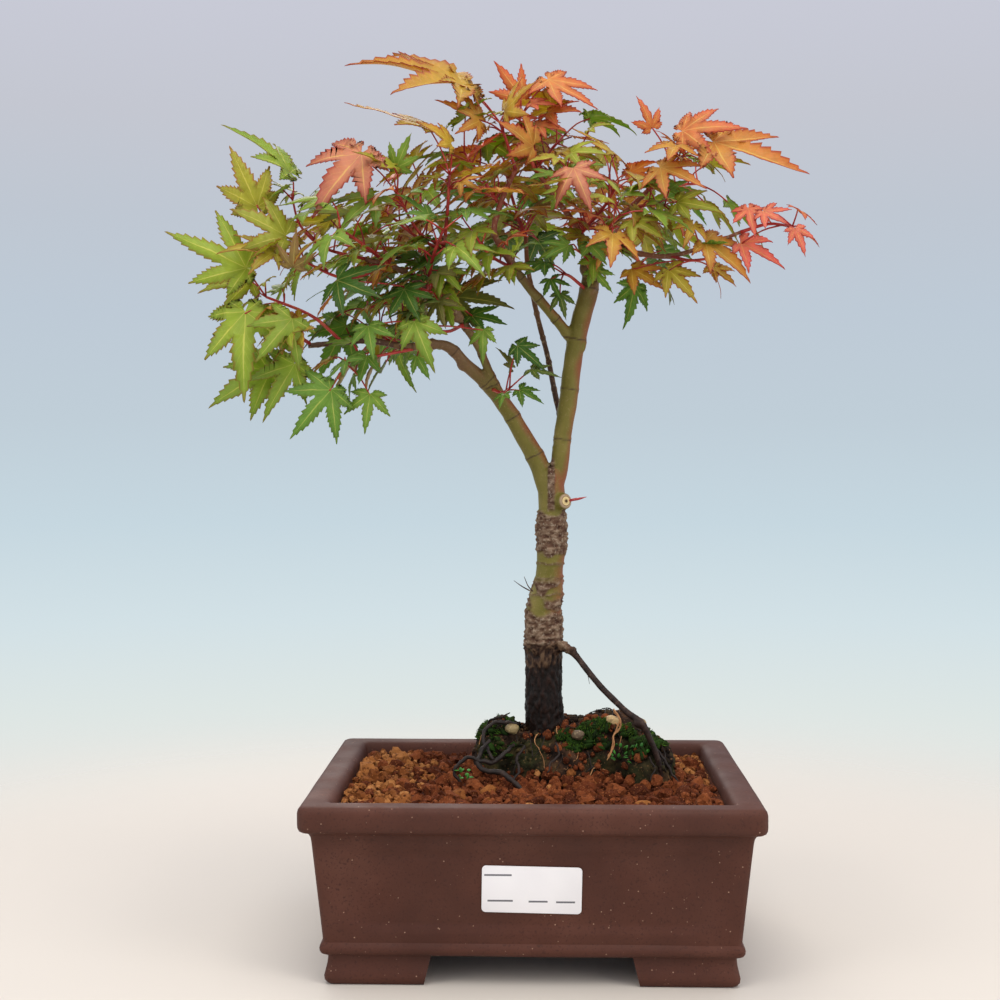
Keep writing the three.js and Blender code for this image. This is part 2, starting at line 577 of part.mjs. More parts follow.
function shootStems({ twig, leaves }, grow) {
  const bar = twig.map((place, k) => [...place, TWIG_RADIUS * (1 - 0.1 * k)]);
  return [limb(bar, 4, grow), ...leaves.map((leaf) => petiole(leaf, grow))];
}

function obstacle(whole) {
  return { whole, bounds: whole.boundingBox() };
}

function nearby(whole, obstacles) {
  const { min, max } = whole.boundingBox();
  return obstacles.filter(({ bounds }) => min.every(
    (low, axis) => low < bounds.max[axis] && max[axis] > bounds.min[axis]));
}

function clearOf(whole, obstacles) {
  return nearby(whole, obstacles).reduce((rest, item) => rest.subtract(item.whole), whole);
}

function isClear(whole, obstacles) {
  return nearby(whole, obstacles).every((item) => whole.intersect(item.whole).isEmpty());
}

function shortened(leaf, share) {
  return { ...leaf, tip: leaf.base.clone().lerp(leaf.tip, share) };
}

// Stems keep clear of the wood and of earlier shoots' stems.
const wood = WOOD.map(({ points, sides }) => obstacle(limb(points, sides, GAP)));
for (const shoot of shoots) {
  const earlier = shoots.flatMap((other) => other.fatStems ?? []);
  shoot.stems = largestBody(clearOf(join(shootStems(shoot, 0)), [...wood, ...earlier]));
  shoot.fatStems = shootStems(shoot, GAP).map(obstacle);
}

// A blade keeps clear of the wood, of other shoots' stems and of the blades before it: where
// they meet it is a shorter one, or it is left out.
const fatBlades = [];
for (const shoot of shoots) {
  const others = shoots.filter((other) => other !== shoot).flatMap((other) => other.fatStems);
  const blades = [];
  for (const leaf of shoot.leaves) {
    const obstacles = [...wood, ...others, ...fatBlades];
    const fitting = BLADE_SHARES.map((share) => shortened(leaf, share))
      .find((candidate) => isClear(blade(candidate, 0), obstacles));
    if (fitting) {
      blades.push(blade(fitting, 0));
      fatBlades.push(obstacle(blade(fitting, GAP)));
    }
  }
  addNode(shoot.name, largestBody(join([shoot.stems, ...blades])), leafTints[shoot.tint]);
}

// ---------------------------------------------------------------- the part's own frame

const bounds = new THREE.Box3().setFromObject(group);
const middle = bounds.getCenter(new THREE.Vector3());
group.position.set(-middle.x, -middle.y, 0);
group.updateMatrixWorld(true);

export default group;
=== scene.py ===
"""A Japanese maple bonsai in an unglazed clay pot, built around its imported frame."""
import math
import random

import bmesh
import bpy
from mathutils import Matrix, Vector, noise


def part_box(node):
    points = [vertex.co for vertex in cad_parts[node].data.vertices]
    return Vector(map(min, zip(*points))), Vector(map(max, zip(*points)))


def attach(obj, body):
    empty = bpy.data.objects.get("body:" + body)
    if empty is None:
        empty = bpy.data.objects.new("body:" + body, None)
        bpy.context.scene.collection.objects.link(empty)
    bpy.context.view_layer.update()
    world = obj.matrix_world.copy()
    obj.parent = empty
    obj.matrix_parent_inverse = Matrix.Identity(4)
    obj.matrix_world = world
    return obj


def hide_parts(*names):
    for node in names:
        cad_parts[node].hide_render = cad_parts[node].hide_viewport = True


# ------------------------------------------------------------------ frame and camera
# Places are counted in millimetres from the middle of the pot's plan, up from the soles of
# its feet, with the labelled front towards -Y. The lens stands 76 cm in front of the middle.

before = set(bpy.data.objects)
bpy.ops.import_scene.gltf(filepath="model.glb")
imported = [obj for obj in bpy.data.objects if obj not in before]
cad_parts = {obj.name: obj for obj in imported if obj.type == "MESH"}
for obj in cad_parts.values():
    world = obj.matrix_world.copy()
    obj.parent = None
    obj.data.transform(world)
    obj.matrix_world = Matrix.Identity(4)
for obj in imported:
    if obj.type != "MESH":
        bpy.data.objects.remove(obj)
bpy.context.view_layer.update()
MM = 0.001
CAMERA_PLACE = (2.9, -758.1, 253.3)
CAMERA_LENS, SENSOR_WIDTH, FAR_LIMIT = 52.2, 36, 20
LOOKS_DOWN, LOOKS_LEFT = 1.76, 1.51
pot_low, pot_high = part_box("pot")
POT_MIDDLE = Vector(((pot_low.x + pot_high.x) / 2, (pot_low.y + pot_high.y) / 2, pot_low.z))


def at(x, y, z):
    """A place in the frame, in metres, from millimetres counted from the pot's middle."""
    return POT_MIDDLE + Vector((x, y, z)) * MM


camera = bpy.data.objects.new("camera", bpy.data.cameras.new("camera"))
camera.data.lens = CAMERA_LENS
camera.data.sensor_width = SENSOR_WIDTH
camera.data.clip_end = FAR_LIMIT
camera.location = at(*CAMERA_PLACE)
camera.rotation_euler = (math.radians(90 - LOOKS_DOWN), 0, math.radians(LOOKS_LEFT))
bpy.context.scene.collection.objects.link(camera)
bpy.context.scene.camera = camera

# ------------------------------------------------------------------ pot
# One piece of unglazed stoneware clay: leaning walls with a sunk panel on each side, a rolled
# rim, a bead ledge and four corner feet, pressed in a mould, fettled and fired dark brown.

POT_WIDTH = 222
POT_DEPTH = 172
POT_CORNER, LEAST_CORNER = 6, 3
FOOT_HEIGHT = 14
FEET_AND_LEDGE = [
    (0, 13.6), (0.8, 12.6), (2.2, 11.7), (4.2, 11.5), (7, 12.2), (10, 12.9), (13, 13.2), (14.4, 13),
    (14.9, 11.2), (15.5, 10.2), (16.6, 9.6), (18, 9.4), (19.3, 9.7), (20.3, 10.5), (20.9, 11),
]
WALL_BOTTOM, WALL_TOP = (20.9, 11.0), (70, 6.2)
WALL_ROWS = 24
RIM_AND_CAVITY = [
    (72.4, 5.8), (74.2, 4.9), (75.1, 3.4), (75.5, 1.9), (76.1, 0.8), (77.3, 0.15), (79, 0), (82, 0),
    (84.6, 0.05), (86.2, 0.5), (87.2, 1.3), (87.8, 2.5), (88, 4), (88, 7), (88, 10.5), (87.7, 12.3),
    (87.1, 13.6), (86.1, 14.5), (84.6, 15), (82, 15.6), (78, 16.1), (70, 16.6), (55, 17.6), (40, 19),
    (28, 21), (24, 23), (22.4, 25.5), (22, 28),
]
PANEL_HALF = {"front": 85, "side": 61}
PANEL_HALF_HEIGHT, PANEL_CORNER = 19, 15
PANEL_DEPTH, PANEL_EDGE = 1.3, 1.9
PANEL_MIDDLE = 47
SIDE_COLUMNS = {"front": 76, "side": 56}
CORNER_COLUMNS = 9
WALL_END = 20
DRAIN_X, DRAIN_RADIUS = 52, 12
FEET_GAP_HALF, FEET_FLARE, SIDE_GAP_HALF = 48.2, 4, 32
UNDERSIDE_HALF = (81.5, 57.5)
EDGE_ROUNDING = 0.9


def srgb(red, green, blue):
    """A colour from 0 to 255 steps as the eye sees them."""
    shares = [value / 255 for value in (red, green, blue)]
    return (*[s / 12.92 if s <= 0.04045 else ((s + 0.055) / 1.055) ** 2.4 for s in shares], 1)


def new_finish(name, roughness, shine=0.35):
    """A material with its node tree and its surface shader."""
    finish = bpy.data.materials.new(name)
    finish.use_nodes = True
    surface = finish.node_tree.nodes["Principled BSDF"]
    surface.inputs["Roughness"].default_value = roughness
    surface.inputs["Specular IOR Level"].default_value = shine
    return finish, finish.node_tree, surface


def add_node(tree, kind, inputs=None, **settings):
    """One node with its settings, its plain values and its links."""
    node = tree.nodes.new(kind)
    for key, value in settings.items():
        setattr(node, key, value)
    for key, value in (inputs or {}).items():
        if isinstance(value, bpy.types.NodeSocket):
            tree.links.new(value, node.inputs[key])
        else:
            node.inputs[key].default_value = value
    return node


def place_of(tree):
    """The place on the object, in metres."""
    return add_node(tree, "ShaderNodeTexCoord").outputs["Object"]


def grain(tree, scale, detail=3, place=None, distortion=0.0, roughness=0.5):
    """A soft random field; scale is in grains per metre."""
    inputs = {"Vector": place or place_of(tree), "Scale": scale, "Detail": detail,
              "Distortion": distortion, "Roughness": roughness}
    return add_node(tree, "ShaderNodeTexNoise", inputs).outputs["Fac"]


def steps(tree, share, stops):
    """Colours along a share, as [(place, colour)]."""
    node = add_node(tree, "ShaderNodeValToRGB", {"Fac": share})
    ramp = node.color_ramp
    while len(ramp.elements) < len(stops):
        ramp.elements.new(0.5)
    for element, (place, colour) in zip(ramp.elements, stops):
        element.position = place
        element.color = colour if len(colour) == 4 else (*colour, 1)
    return node.outputs["Color"]


def mask(tree, share, low, high):
    """0 below low, 1 above high, and a ramp between."""
    inputs = {"Value": share, "From Min": low, "From Max": high}
    return add_node(tree, "ShaderNodeMapRange", inputs).outputs["Result"]


def blend(tree, share, first, second, kind="MIX"):
    """Mixes two colours by a share."""
    node = add_node(tree, "ShaderNodeMix", data_type="RGBA", blend_type=kind)
    for key, value in ((0, share), (6, first), (7, second)):
        if isinstance(value, bpy.types.NodeSocket):
            tree.links.new(value, node.inputs[key])
        else:
            node.inputs[key].default_value = value
    return node.outputs[2]


def sums(tree, kind, first, second=0.0):
    """One sum of two numbers."""
    return add_node(tree, "ShaderNodeMath", {0: first, 1: second}, operation=kind).outputs[0]


def relief(tree, surface, layers):
    """Bumps laid on each other, as [(height field, depth in metres, strength)]."""
    normal = None
    for field, depth, strength in layers:
        inputs = {"Height": field, "Distance": depth, "Strength": strength}
        if normal:
            inputs["Normal"] = normal
        normal = add_node(tree, "ShaderNodeBump", inputs).outputs["Normal"]
    tree.links.new(normal, surface.inputs["Normal"])


def attribute(tree, name, output="Fac"):
    """What the mesh stores under a name."""
    return add_node(tree, "ShaderNodeAttribute", attribute_name=name).outputs[output]


def grained(name, roughness, field, stops, bump=None):
    """A finish coloured by one random field; bump is (scale, detail, depth, strength)."""
    finish, tree, surface = new_finish(name, roughness)
    tree.links.new(steps(tree, grain(tree, *field), stops), surface.inputs["Base Color"])
    if bump:
        relief(tree, surface, [(grain(tree, *bump[:2]), *bump[2:])])
    return finish


def fired_clay():
    finish, tree, surface = new_finish("fired_clay", 0.6, 0.25)
    cloud = grain(tree, 22, 4)
    body = steps(tree, cloud, [(0.3, srgb(69, 38, 29)), (0.55, srgb(81, 46, 35)), (0.75, srgb(94, 57, 45))])
    fine = grain(tree, 900, 2)
    body = blend(tree, mask(tree, fine, 0.56, 0.7), body, srgb(66, 37, 29))
    specks = add_node(tree, "ShaderNodeTexVoronoi", {"Vector": place_of(tree), "Scale": 420},
                      feature="F1").outputs["Distance"]
    rare = grain(tree, 260, 1)
    speck = sums(tree, "MULTIPLY", mask(tree, specks, 0.17, 0.1), mask(tree, rare, 0.58, 0.64))
    body = blend(tree, speck, body, srgb(158, 124, 104))
    tree.links.new(body, surface.inputs["Base Color"])
    sheen = mask(tree, grain(tree, 60, 3), 0.3, 0.75)
    rough = add_node(tree, "ShaderNodeMapRange", {"Value": sheen, "To Min": 0.55, "To Max": 0.72})
    tree.links.new(rough.outputs["Result"], surface.inputs["Roughness"])
    relief(tree, surface, [(grain(tree, 700, 3), 0.00012, 0.5), (grain(tree, 45, 2), 0.0006, 0.35)])
    return finish


def next_ring(shape, ring):
    """Draws a new ring of points out of the last one, in the same order."""
    edges = [shape.edges.get((ring[k - 1], ring[k])) for k in range(len(ring))]
    drawn = bmesh.ops.extrude_edge_only(shape, edges=edges)["geom"]
    fresh = {part for part in drawn if isinstance(part, bmesh.types.BMVert)}
    return [next(edge.other_vert(point) for edge in point.link_edges
                 if edge.other_vert(point) in fresh) for point in ring]


def close_ring(shape, ring):
    """Fills a ring with one face."""
    edges = [shape.edges.get((ring[k - 1], ring[k])) for k in range(len(ring))]
    bmesh.ops.contextual_create(shape, geom=edges)


def plan_columns():
    """The columns round the pot, as (side, turn of the corner, share along the side)."""
    columns = []
    for side in range(4):
        count = SIDE_COLUMNS["front" if side % 2 == 0 else "side"]
        columns += [(side, None, step / count) for step in range(1, count)]
        columns += [(side, step / CORNER_COLUMNS, None) for step in range(CORNER_COLUMNS + 1)]
    return columns


def column_place(column, inset):
    """Where a column meets the outline drawn in by inset, in millimetres."""
    side, turn, share = column
    radius = max(POT_CORNER - inset, LEAST_CORNER)
    half = [POT_WIDTH / 2 - inset - radius, POT_DEPTH / 2 - inset - radius]
    if side % 2:
        half.reverse()
    if turn is None:
        x, y = (2 * share - 1) * half[0], -half[1] - radius
    else:
        angle = (turn - 1) * math.pi / 2
        x, y = half[0] + radius * math.cos(angle), -half[1] + radius * math.sin(angle)
    for _ in range(side):
        x, y = -y, x
    return x, y


def panel_sink(column, height):
    """How far the wall is sunk: a rounded panel with a soft edge on each side."""
    side, turn, share = column
    if turn is not None:
        return 0
    name = "front" if side % 2 == 0 else "side"
    reach = (POT_WIDTH if side % 2 == 0 else POT_DEPTH) / 2 - WALL_END
    across = abs(2 * share - 1) * reach - (PANEL_HALF[name] - PANEL_CORNER)
    up = abs(height - PANEL_MIDDLE) - (PANEL_HALF_HEIGHT - PANEL_CORNER)
    outside = math.hypot(max(across, 0), max(up, 0)) - PANEL_CORNER
    return PANEL_DEPTH * min(max(0.5 - outside / PANEL_EDGE, 0), 1)


def link_piece(name, shape, finishes):
    """Turns a bmesh into a smooth piece with its finishes."""
    mesh = bpy.data.meshes.new(name)
    shape.to_mesh(mesh)
    shape.free()
    mesh.shade_smooth()
    for finish in finishes:
        mesh.materials.append(finish)
    piece = bpy.data.objects.new(name, mesh)
    bpy.context.scene.collection.objects.link(piece)
    return piece


def settle_modifiers(piece):
    """Applies a piece's modifiers to its mesh."""
    graph = bpy.context.evaluated_depsgraph_get()
    settled = bpy.data.meshes.new_from_object(piece.evaluated_get(graph))
    piece.modifiers.clear()
    old = piece.data
    piece.data = settled
    bpy.data.meshes.remove(old)


def pot_body():
    """Outside, rim and cavity drawn up as one skin, closed under the feet and on the floor."""
    shape = bmesh.new()
    columns = plan_columns()
    rise = [(WALL_BOTTOM[axis], WALL_TOP[axis] - WALL_BOTTOM[axis]) for axis in (0, 1)]
    wall = [tuple(start + gain * k / WALL_ROWS for start, gain in rise) for k in range(1, WALL_ROWS + 1)]
    ring = bmesh.ops.create_circle(shape, segments=len(columns), radius=1)["verts"]
    first = ring
    for number, (height, inset) in enumerate(FEET_AND_LEDGE + wall + RIM_AND_CAVITY):
        if number:
            ring = next_ring(shape, ring)
        on_wall = (height, inset) in wall
        for point, column in zip(ring, columns):
            x, y = column_place(column, inset)
            uneven = 0.3 * noise.noise(Vector((x, y, height)) * 0.025)
            x, y = column_place(column, inset + uneven + (panel_sink(column, height) if on_wall else 0))
            point.co = at(x, y, height)
    close_ring(shape, first)
    close_ring(shape, ring)
    bmesh.ops.recalc_face_normals(shape, faces=shape.faces)
    return shape


def clay_cutter(low, high, flare=0.0):
    """A block that cuts clay away; flare widens it along X towards the table."""
    shape = bmesh.new()
    bmesh.ops.create_cube(shape, size=1)
    for point in shape.verts:
        x, y, z = [l + (h - l) * (share + 0.5) for l, h, share in zip(low, high, point.co)]
        point.co = at(x + (math.copysign(flare, x) if point.co.z < 0 else 0), y, z)
    return link_piece("cutter", shape, [])


def drain_cutter(x):
    shape = bmesh.new()
    bmesh.ops.create_cone(shape, cap_ends=True, segments=40, radius1=DRAIN_RADIUS * MM,
                          radius2=DRAIN_RADIUS * MM, depth=30 * MM, matrix=Matrix.Translation(at(x, 0, 18)))
    return link_piece("cutter", shape, [])


pot = link_piece("clay_pot", pot_body(), [fired_clay()])
cutters = [
    clay_cutter((-FEET_GAP_HALF, -120, -2), (FEET_GAP_HALF, 120, FOOT_HEIGHT), FEET_FLARE),
    clay_cutter((-150, -SIDE_GAP_HALF, -2), (150, SIDE_GAP_HALF, FOOT_HEIGHT)),
    clay_cutter((*[-half for half in UNDERSIDE_HALF], -2), (*UNDERSIDE_HALF, FOOT_HEIGHT)),
    drain_cutter(-DRAIN_X),
    drain_cutter(DRAIN_X),
]
for cutter in cutters:
    cut = pot.modifiers.new("cut", "BOOLEAN")
    cut.object = cutter
    cut.solver = "EXACT"
settle_modifiers(pot)
for cutter in cutters:
    bpy.data.objects.remove(cutter)
soft_edges = pot.modifiers.new("soft_edges", "BEVEL")
soft_edges.width = EDGE_ROUNDING * MM
soft_edges.segments = 2
soft_edges.limit_method = "ANGLE"
soft_edges.angle_limit = math.radians(55)
settle_modifiers(pot)
pot.data.set_sharp_from_angle(angle=math.radians(38))
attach(pot, "root")
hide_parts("pot")

# ------------------------------------------------------------------ drain nets and their wires
# Black plastic net laid over each drain hole from inside, and the bent aluminium wire that
# passes the hole and holds it. Both keep the frame's own solids and get their finishes here.

net_finish = grained("plastic_net", 0.45, (180, 2), [(0.35, srgb(30, 31, 32)), (0.7, srgb(50, 51, 53))],
                     (1500, 2, 0.0001, 0.4))
wire_finish = grained("aluminium_wire", 0.35, (400, 3), [
    (0.35, srgb(128, 126, 124)), (0.7, srgb(168, 166, 163))], (2500, 2, 0.00005, 0.4))
wire_finish.node_tree.nodes["Principled BSDF"].inputs["Metallic"].default_value = 0.9
for side in ("left", "right"):
    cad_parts[f"drain_mesh_{side}"].material_slots[0].material = net_finish
    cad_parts[f"mesh_wire_{side}"].material_slots[0].material = wire_finish

# ------------------------------------------------------------------ grit
# Fired clay grit poured round the root ball: red-brown grains with a paler, ochre kind at both
# ends. The bed keeps the frame's shape and lies hidden under a loose top layer of grains.

GRIT_TOP = 80.5
GRAIN_RADII = (1.6, 4.8)
GRAIN_COUNT, GRAIN_TRIES = 1900, 40000
GRAIN_CELL, GRAIN_SPACING = 10, 0.78
GRAIN_DENT, GRAIN_DETAIL = 0.62, 2
BED_HALF = (94.4, 69.4)
MOUND = [
    ((18, 26, 70), (52, 34, 41)),
    ((-16, 20, 86), (16, 17, 26)),
    ((42, 20, 88), (26, 21, 28)),
    ((61, 3, 84), (15, 17, 21)),
]


def mound_depth(place):
    """Below 1 inside the root ball, 1 on its surface, more outside."""
    return min(math.sqrt(sum(((value - middle) / radius) ** 2 for value, middle, radius in zip(place, *lump)))
               for lump in MOUND)


def akadama_grit():
    finish, tree, surface = new_finish("akadama_grit", 0.95, 0.1)
    shade = attribute(tree, "shade")
    ochre = attribute(tree, "ochre")
    red = steps(tree, shade, [(0, srgb(62, 28, 15)), (0.45, srgb(94, 46, 25)), (1, srgb(124, 68, 38))])
    pale = steps(tree, shade, [(0, srgb(104, 58, 28)), (0.5, srgb(146, 92, 48)), (1, srgb(178, 124, 74))])
    body = blend(tree, ochre, red, pale)
    body = blend(tree, mask(tree, grain(tree, 420, 4), 0.52, 0.68), body, srgb(64, 31, 18))
    body = blend(tree, mask(tree, grain(tree, 1300, 2), 0.6, 0.72), body, srgb(156, 98, 60))
    tree.links.new(body, surface.inputs["Base Color"])
    relief(tree, surface, [(grain(tree, 1600, 4), 0.0004, 0.7), (grain(tree, 520, 2), 0.0008, 0.5)])
    return finish


def lumpy(shape, place, radii, roughness, rng, detail=2):
    """A rough stone or crumb: a ball of the given radii, turned and dented at random."""
    turn = Matrix.Rotation(rng.uniform(0, math.tau), 4, Vector([rng.uniform(-1, 1) for _ in range(3)]))
    points = bmesh.ops.create_icosphere(shape, subdivisions=detail, radius=1)["verts"]
    offset = Vector([rng.uniform(-90, 90) for _ in range(3)])
    for point in points:
        coarse, fine = noise.noise(point.co * 1.3 + offset), noise.noise(point.co * 3.1 + offset)
        dent = 1 + roughness * (coarse + 0.4 * fine)
        stretched = [value * radius * dent * MM for value, radius in zip(point.co, radii)]
        point.co = place + turn @ Vector(stretched)
    return points


def grit_height(x, y):
    """How high the grit lies: banked up against the root ball and a little at the left end."""
    bank = max(0, 1.35 - mound_depth((x, y, GRIT_TOP)))
    return GRIT_TOP + 9 * bank + 1.6 * noise.noise(Vector((x, y, 0)) * 0.03) + 1.5 * max(0, -x - 50) / 45


def lay_stone(part, place, radii, roughness, rng, detail, shade, ochre, finish):
    """One rough stone with its shade and its finish."""
    shade_of, ochre_of = part.verts.layers.float["shade"], part.verts.layers.float["ochre"]
    for point in lumpy(part, place, radii, roughness, rng, detail):
        point[shade_of], point[ochre_of] = shade, ochre
        for face in point.link_faces:
            face.material_index = finish


def in_batches(whole, items, lay, batch):
    """Lays items in small meshes of their own, a batch at a time, and adds those to the whole."""
    for first in range(0, len(items), batch):
        part = bmesh.new()
        for name in ("shade", "ochre"):
            part.verts.layers.float.new(name)
        for item in items[first:first + batch]:
            lay(part, *item)
        mesh = bpy.data.meshes.new("batch")
        part.to_mesh(mesh)
        part.free()
        whole.from_mesh(mesh)
        bpy.data.meshes.remove(mesh)


grit = bmesh.new()
grit.verts.layers.float.new("shade")
grit.verts.layers.float.new("ochre")
grit.from_mesh(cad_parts["soil_bed"].data)
bmesh.ops.remove_doubles(grit, verts=grit.verts, dist=1e-6)
rng = random.Random(11)
grains, cells, tries = [], {}, 0
while len(grains) < GRAIN_COUNT and tries < GRAIN_TRIES:
    tries += 1
    radius = GRAIN_RADII[0] + (GRAIN_RADII[1] - GRAIN_RADII[0]) * rng.random() ** 1.5
    x, y = [rng.uniform(-half + radius, half - radius) for half in BED_HALF]
    z = grit_height(x, y) + rng.uniform(-1.5, 1.5) + radius * 0.3
    if mound_depth((x, y, z)) < 0.97:
        continue
    cell = (int(x // GRAIN_CELL), int(y // GRAIN_CELL))
    near = [other for i in (-1, 0, 1) for j in (-1, 0, 1)
            for other in cells.get((cell[0] + i, cell[1] + j), [])]
    if any(math.dist((x, y, z), other[:3]) < GRAIN_SPACING * (radius + other[3]) for other in near):
        continue
    cells.setdefault(cell, []).append((x, y, z, radius))
    grain_radii = [radius * rng.uniform(0.85, 1.12) for _ in range(3)]
    pale_end = max(-x - 46, x + y * 0.4 - 84) / 26 + 0.5 * noise.noise(Vector((x, y, 5)) * 0.04)
    is_ochre = 1.0 if rng.random() < min(max(pale_end, 0.03), 0.85) else 0.0
    grains.append((at(x, y, z), grain_radii, GRAIN_DENT, rng, GRAIN_DETAIL, rng.random(), is_ochre, 0))
in_batches(grit, grains, lay_stone, 60)
grit_finish = akadama_grit()
grit_piece = link_piece("grit", grit, [grit_finish])
grit_piece.data.shade_flat()
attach(grit_piece, "root")
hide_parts("soil_bed")

# ------------------------------------------------------------------ the tree's wood
# One grown piece of maple wood: the trunk with its corky belts, the two limbs, the branches,
# the aerial root and the roots in the soil. Thin twigs carry on from the thick wood.

TRUNK_AND_LIMBS = [
    [
        (7, 24, 70, 13), (7, 23, 86, 12.6), (7, 22, 98, 12), (7, 22, 106, 10.9), (6, 21, 122, 10),
        (6, 21, 139, 9.8), (6, 20, 151, 10), (6, 19, 169, 9.2), (8, 19, 180, 8.3), (9, 18, 192, 7.2),
        (10, 18, 204, 7.7), (10, 18, 216, 7.7), (10, 18, 224, 6.9), (10, 18, 235, 7.2), (9, 18, 246, 6.6),
    ],
    [
        (11, 18, 232, 4.6), (14, 18, 246, 4.7), (16, 18, 264, 4.7), (19, 18, 284, 4.9),
        (23, 18, 314, 5), (29, 18, 338, 5.2), (31, 18, 349, 4.8), (31, 17.5, 357, 5),
    ],
    [
        (8, 17, 234, 5), (3, 18, 249, 5.2), (-4, 17, 262, 4.8), (-13, 14, 277, 4.4),
        (-23, 10, 290, 4), (-34, 4, 300, 3.4), (-43, -1, 309, 3), (-51, -5, 311, 2.4),
        (-64, -10, 309, 1.9), (-72, -12, 310, 1.6),
    ],
    [(31, 17, 354, 3.8), (36, 11, 360, 3.4), (42, 7, 366, 3.3), (49, 4, 364.5, 2.9)],
    [
        (-14, 12, 279, 2.8), (-20, 8, 291, 2.5), (-29, 0, 311, 2.2), (-36, -3, 322, 2.3),
        (-41, -6, 330, 1.9), (-47, -8, 334, 1.7),
    ],
    [(20, 18, 316, 2.9), (11, 14, 327, 2.7), (1, 8, 338, 2.4), (-8, 2, 349, 2.1), (-12, -1, 355, 1.9)],
    [
        (8, 18, 147, 2.8), (17, 12, 151, 2.2), (23, 8, 147, 1.8), (35, 0, 133, 1.7),
        (48, -8, 121, 1.7), (56, -11, 115, 2.1), (61, -11, 106, 1.8), (65, -11, 96, 1.6),
        (67, -10, 86, 1.3),
    ],
    [(2, 24, 92, 5), (-16, 26, 78, 3), (-32, 24, 56, 1.6)],
    [(12, 26, 92, 5), (34, 32, 74, 3), (54, 30, 52, 1.6)],
    [(8, 18, 90, 5), (8, 2, 70, 3), (0, -8, 50, 1.6)],
]
TWIGS = [
    [(-68, -11, 309.6, 1.8), (-86, -15, 312, 1.5), (-114, -22, 309, 1.3)],
    [(-45, -7, 333, 1.8), (-52, -10, 338, 1.6), (-68, -18, 348, 1.4), (-85, -20, 353, 1.1)],
    [(-38, -4, 324, 1.9), (-43, -8, 334, 1.6), (-43, -10, 353, 1.5), (-46, -12, 366, 1.2)],
    [(-10, 0, 352, 2), (-16, -4, 361, 1.8), (-20, -8, 369, 1.6), (-16, -6, 385, 1.4), (-9, -2, 401, 1.1)],
    [
        (18, 22, 264, 2), (13, 30, 282, 1.6), (8, 34, 307, 1.5), (2, 38, 331, 1.5),
        (-3, 42, 357, 1.4), (-4, 44, 374, 1.1),
    ],
    [(30, 16, 356, 2.1), (24, 12, 372, 1.7), (12, 7, 388, 1.4), (1, 6, 403, 1.1)],
    [(32, 16, 356, 2.3), (36, 12, 370, 1.7), (49, 6, 381, 1.5), (61, 0, 392, 1.2)],
    [(46, 6, 364, 1.9), (50, 4, 360, 1.5), (69, -4, 356, 1.3), (88, -12, 360, 1.1), (105, -20, 366, 0.9)],
    [(31, 20, 352, 2.7), (36, 34, 362, 2), (42, 52, 374, 1.6), (50, 66, 382, 1.2)],
    [(-33, 1, 318, 2.1), (-48, 14, 340, 1.7), (-62, 32, 356, 1.5), (-78, 48, 364, 1.2)],
]
KNOTS = [
    ((31, 17, 352), (6.4, 6, 5.4)), ((30, 16, 342), (6, 5.7, 3.4)), ((23, 18, 312), (5.9, 5.7, 3)),
    ((-39, -4, 325), (3.1, 3, 3.6)), ((-36, 3, 301), (4, 3.7, 3.4)), ((-52, -5, 311), (3.4, 3, 3)),
    ((11, 17, 152), (4.2, 4.4, 5)), ((15.5, 12.4, 229), (4.4, 3.6, 4.6)), ((55, -11, 115), (3.2, 3, 3)),
]
SCAR_MIDDLE, SCAR_OUT = (17.6, 9.6, 229.2), (0.55, -0.82, 0.12)
SEAM = {"x": 9.8, "low": 224, "high": 252, "half": 1.9}
WOOD_VOXEL = 0.75


def smooth_route(points, step):
    """Places and radii on a smooth route through the given ones, about a step apart."""
    knots = [Vector(point) for point in points]
    knots = [2 * knots[0] - knots[1], *knots, 2 * knots[-1] - knots[-2]]
    route = []
    for before, start, end, after in zip(knots, knots[1:], knots[2:], knots[3:]):
        pieces = max(1, round((end - start).xyz.length / step))
        for k in range(pieces):
            t = k / pieces
            route.append(start + 0.5 * t * (end - before + t * (
                2 * before - 5 * start + 4 * end - after + t * (3 * (start - end) + after - before))))
    return [*route, knots[-2]]


def stem(shape, route, sides, finish=0):
    """Draws a round bar with closed ends along a route of (x, y, z, radius)."""
    places = [at(*point.xyz) for point in route]
    first = ring = bmesh.ops.create_circle(shape, segments=sides, radius=1)["verts"]
    across = Vector((0.3, 1, 0.1))
    for k, (place, point) in enumerate(zip(places, route)):
        if k:
            ring = next_ring(shape, ring)
        along = (places[min(k + 1, len(places) - 1)] - places[max(k - 1, 0)]).normalized()
        across = (across - along * across.dot(along)).normalized()
        beside = along.cross(across)
        for step, corner in enumerate(ring):
            angle = math.tau * step / sides
            corner.co = place + (across * math.cos(angle) + beside * math.sin(angle)) * point.w * MM
            for face in corner.link_faces:
                face.material_index = finish
    close_ring(shape, first)
    close_ring(shape, ring)


def band(value, low, high, soft):
    """1 between low and high, falling to 0 over soft on each side."""
    return min(max(min(value - low, high - value) / soft + 0.5, 0), 1)


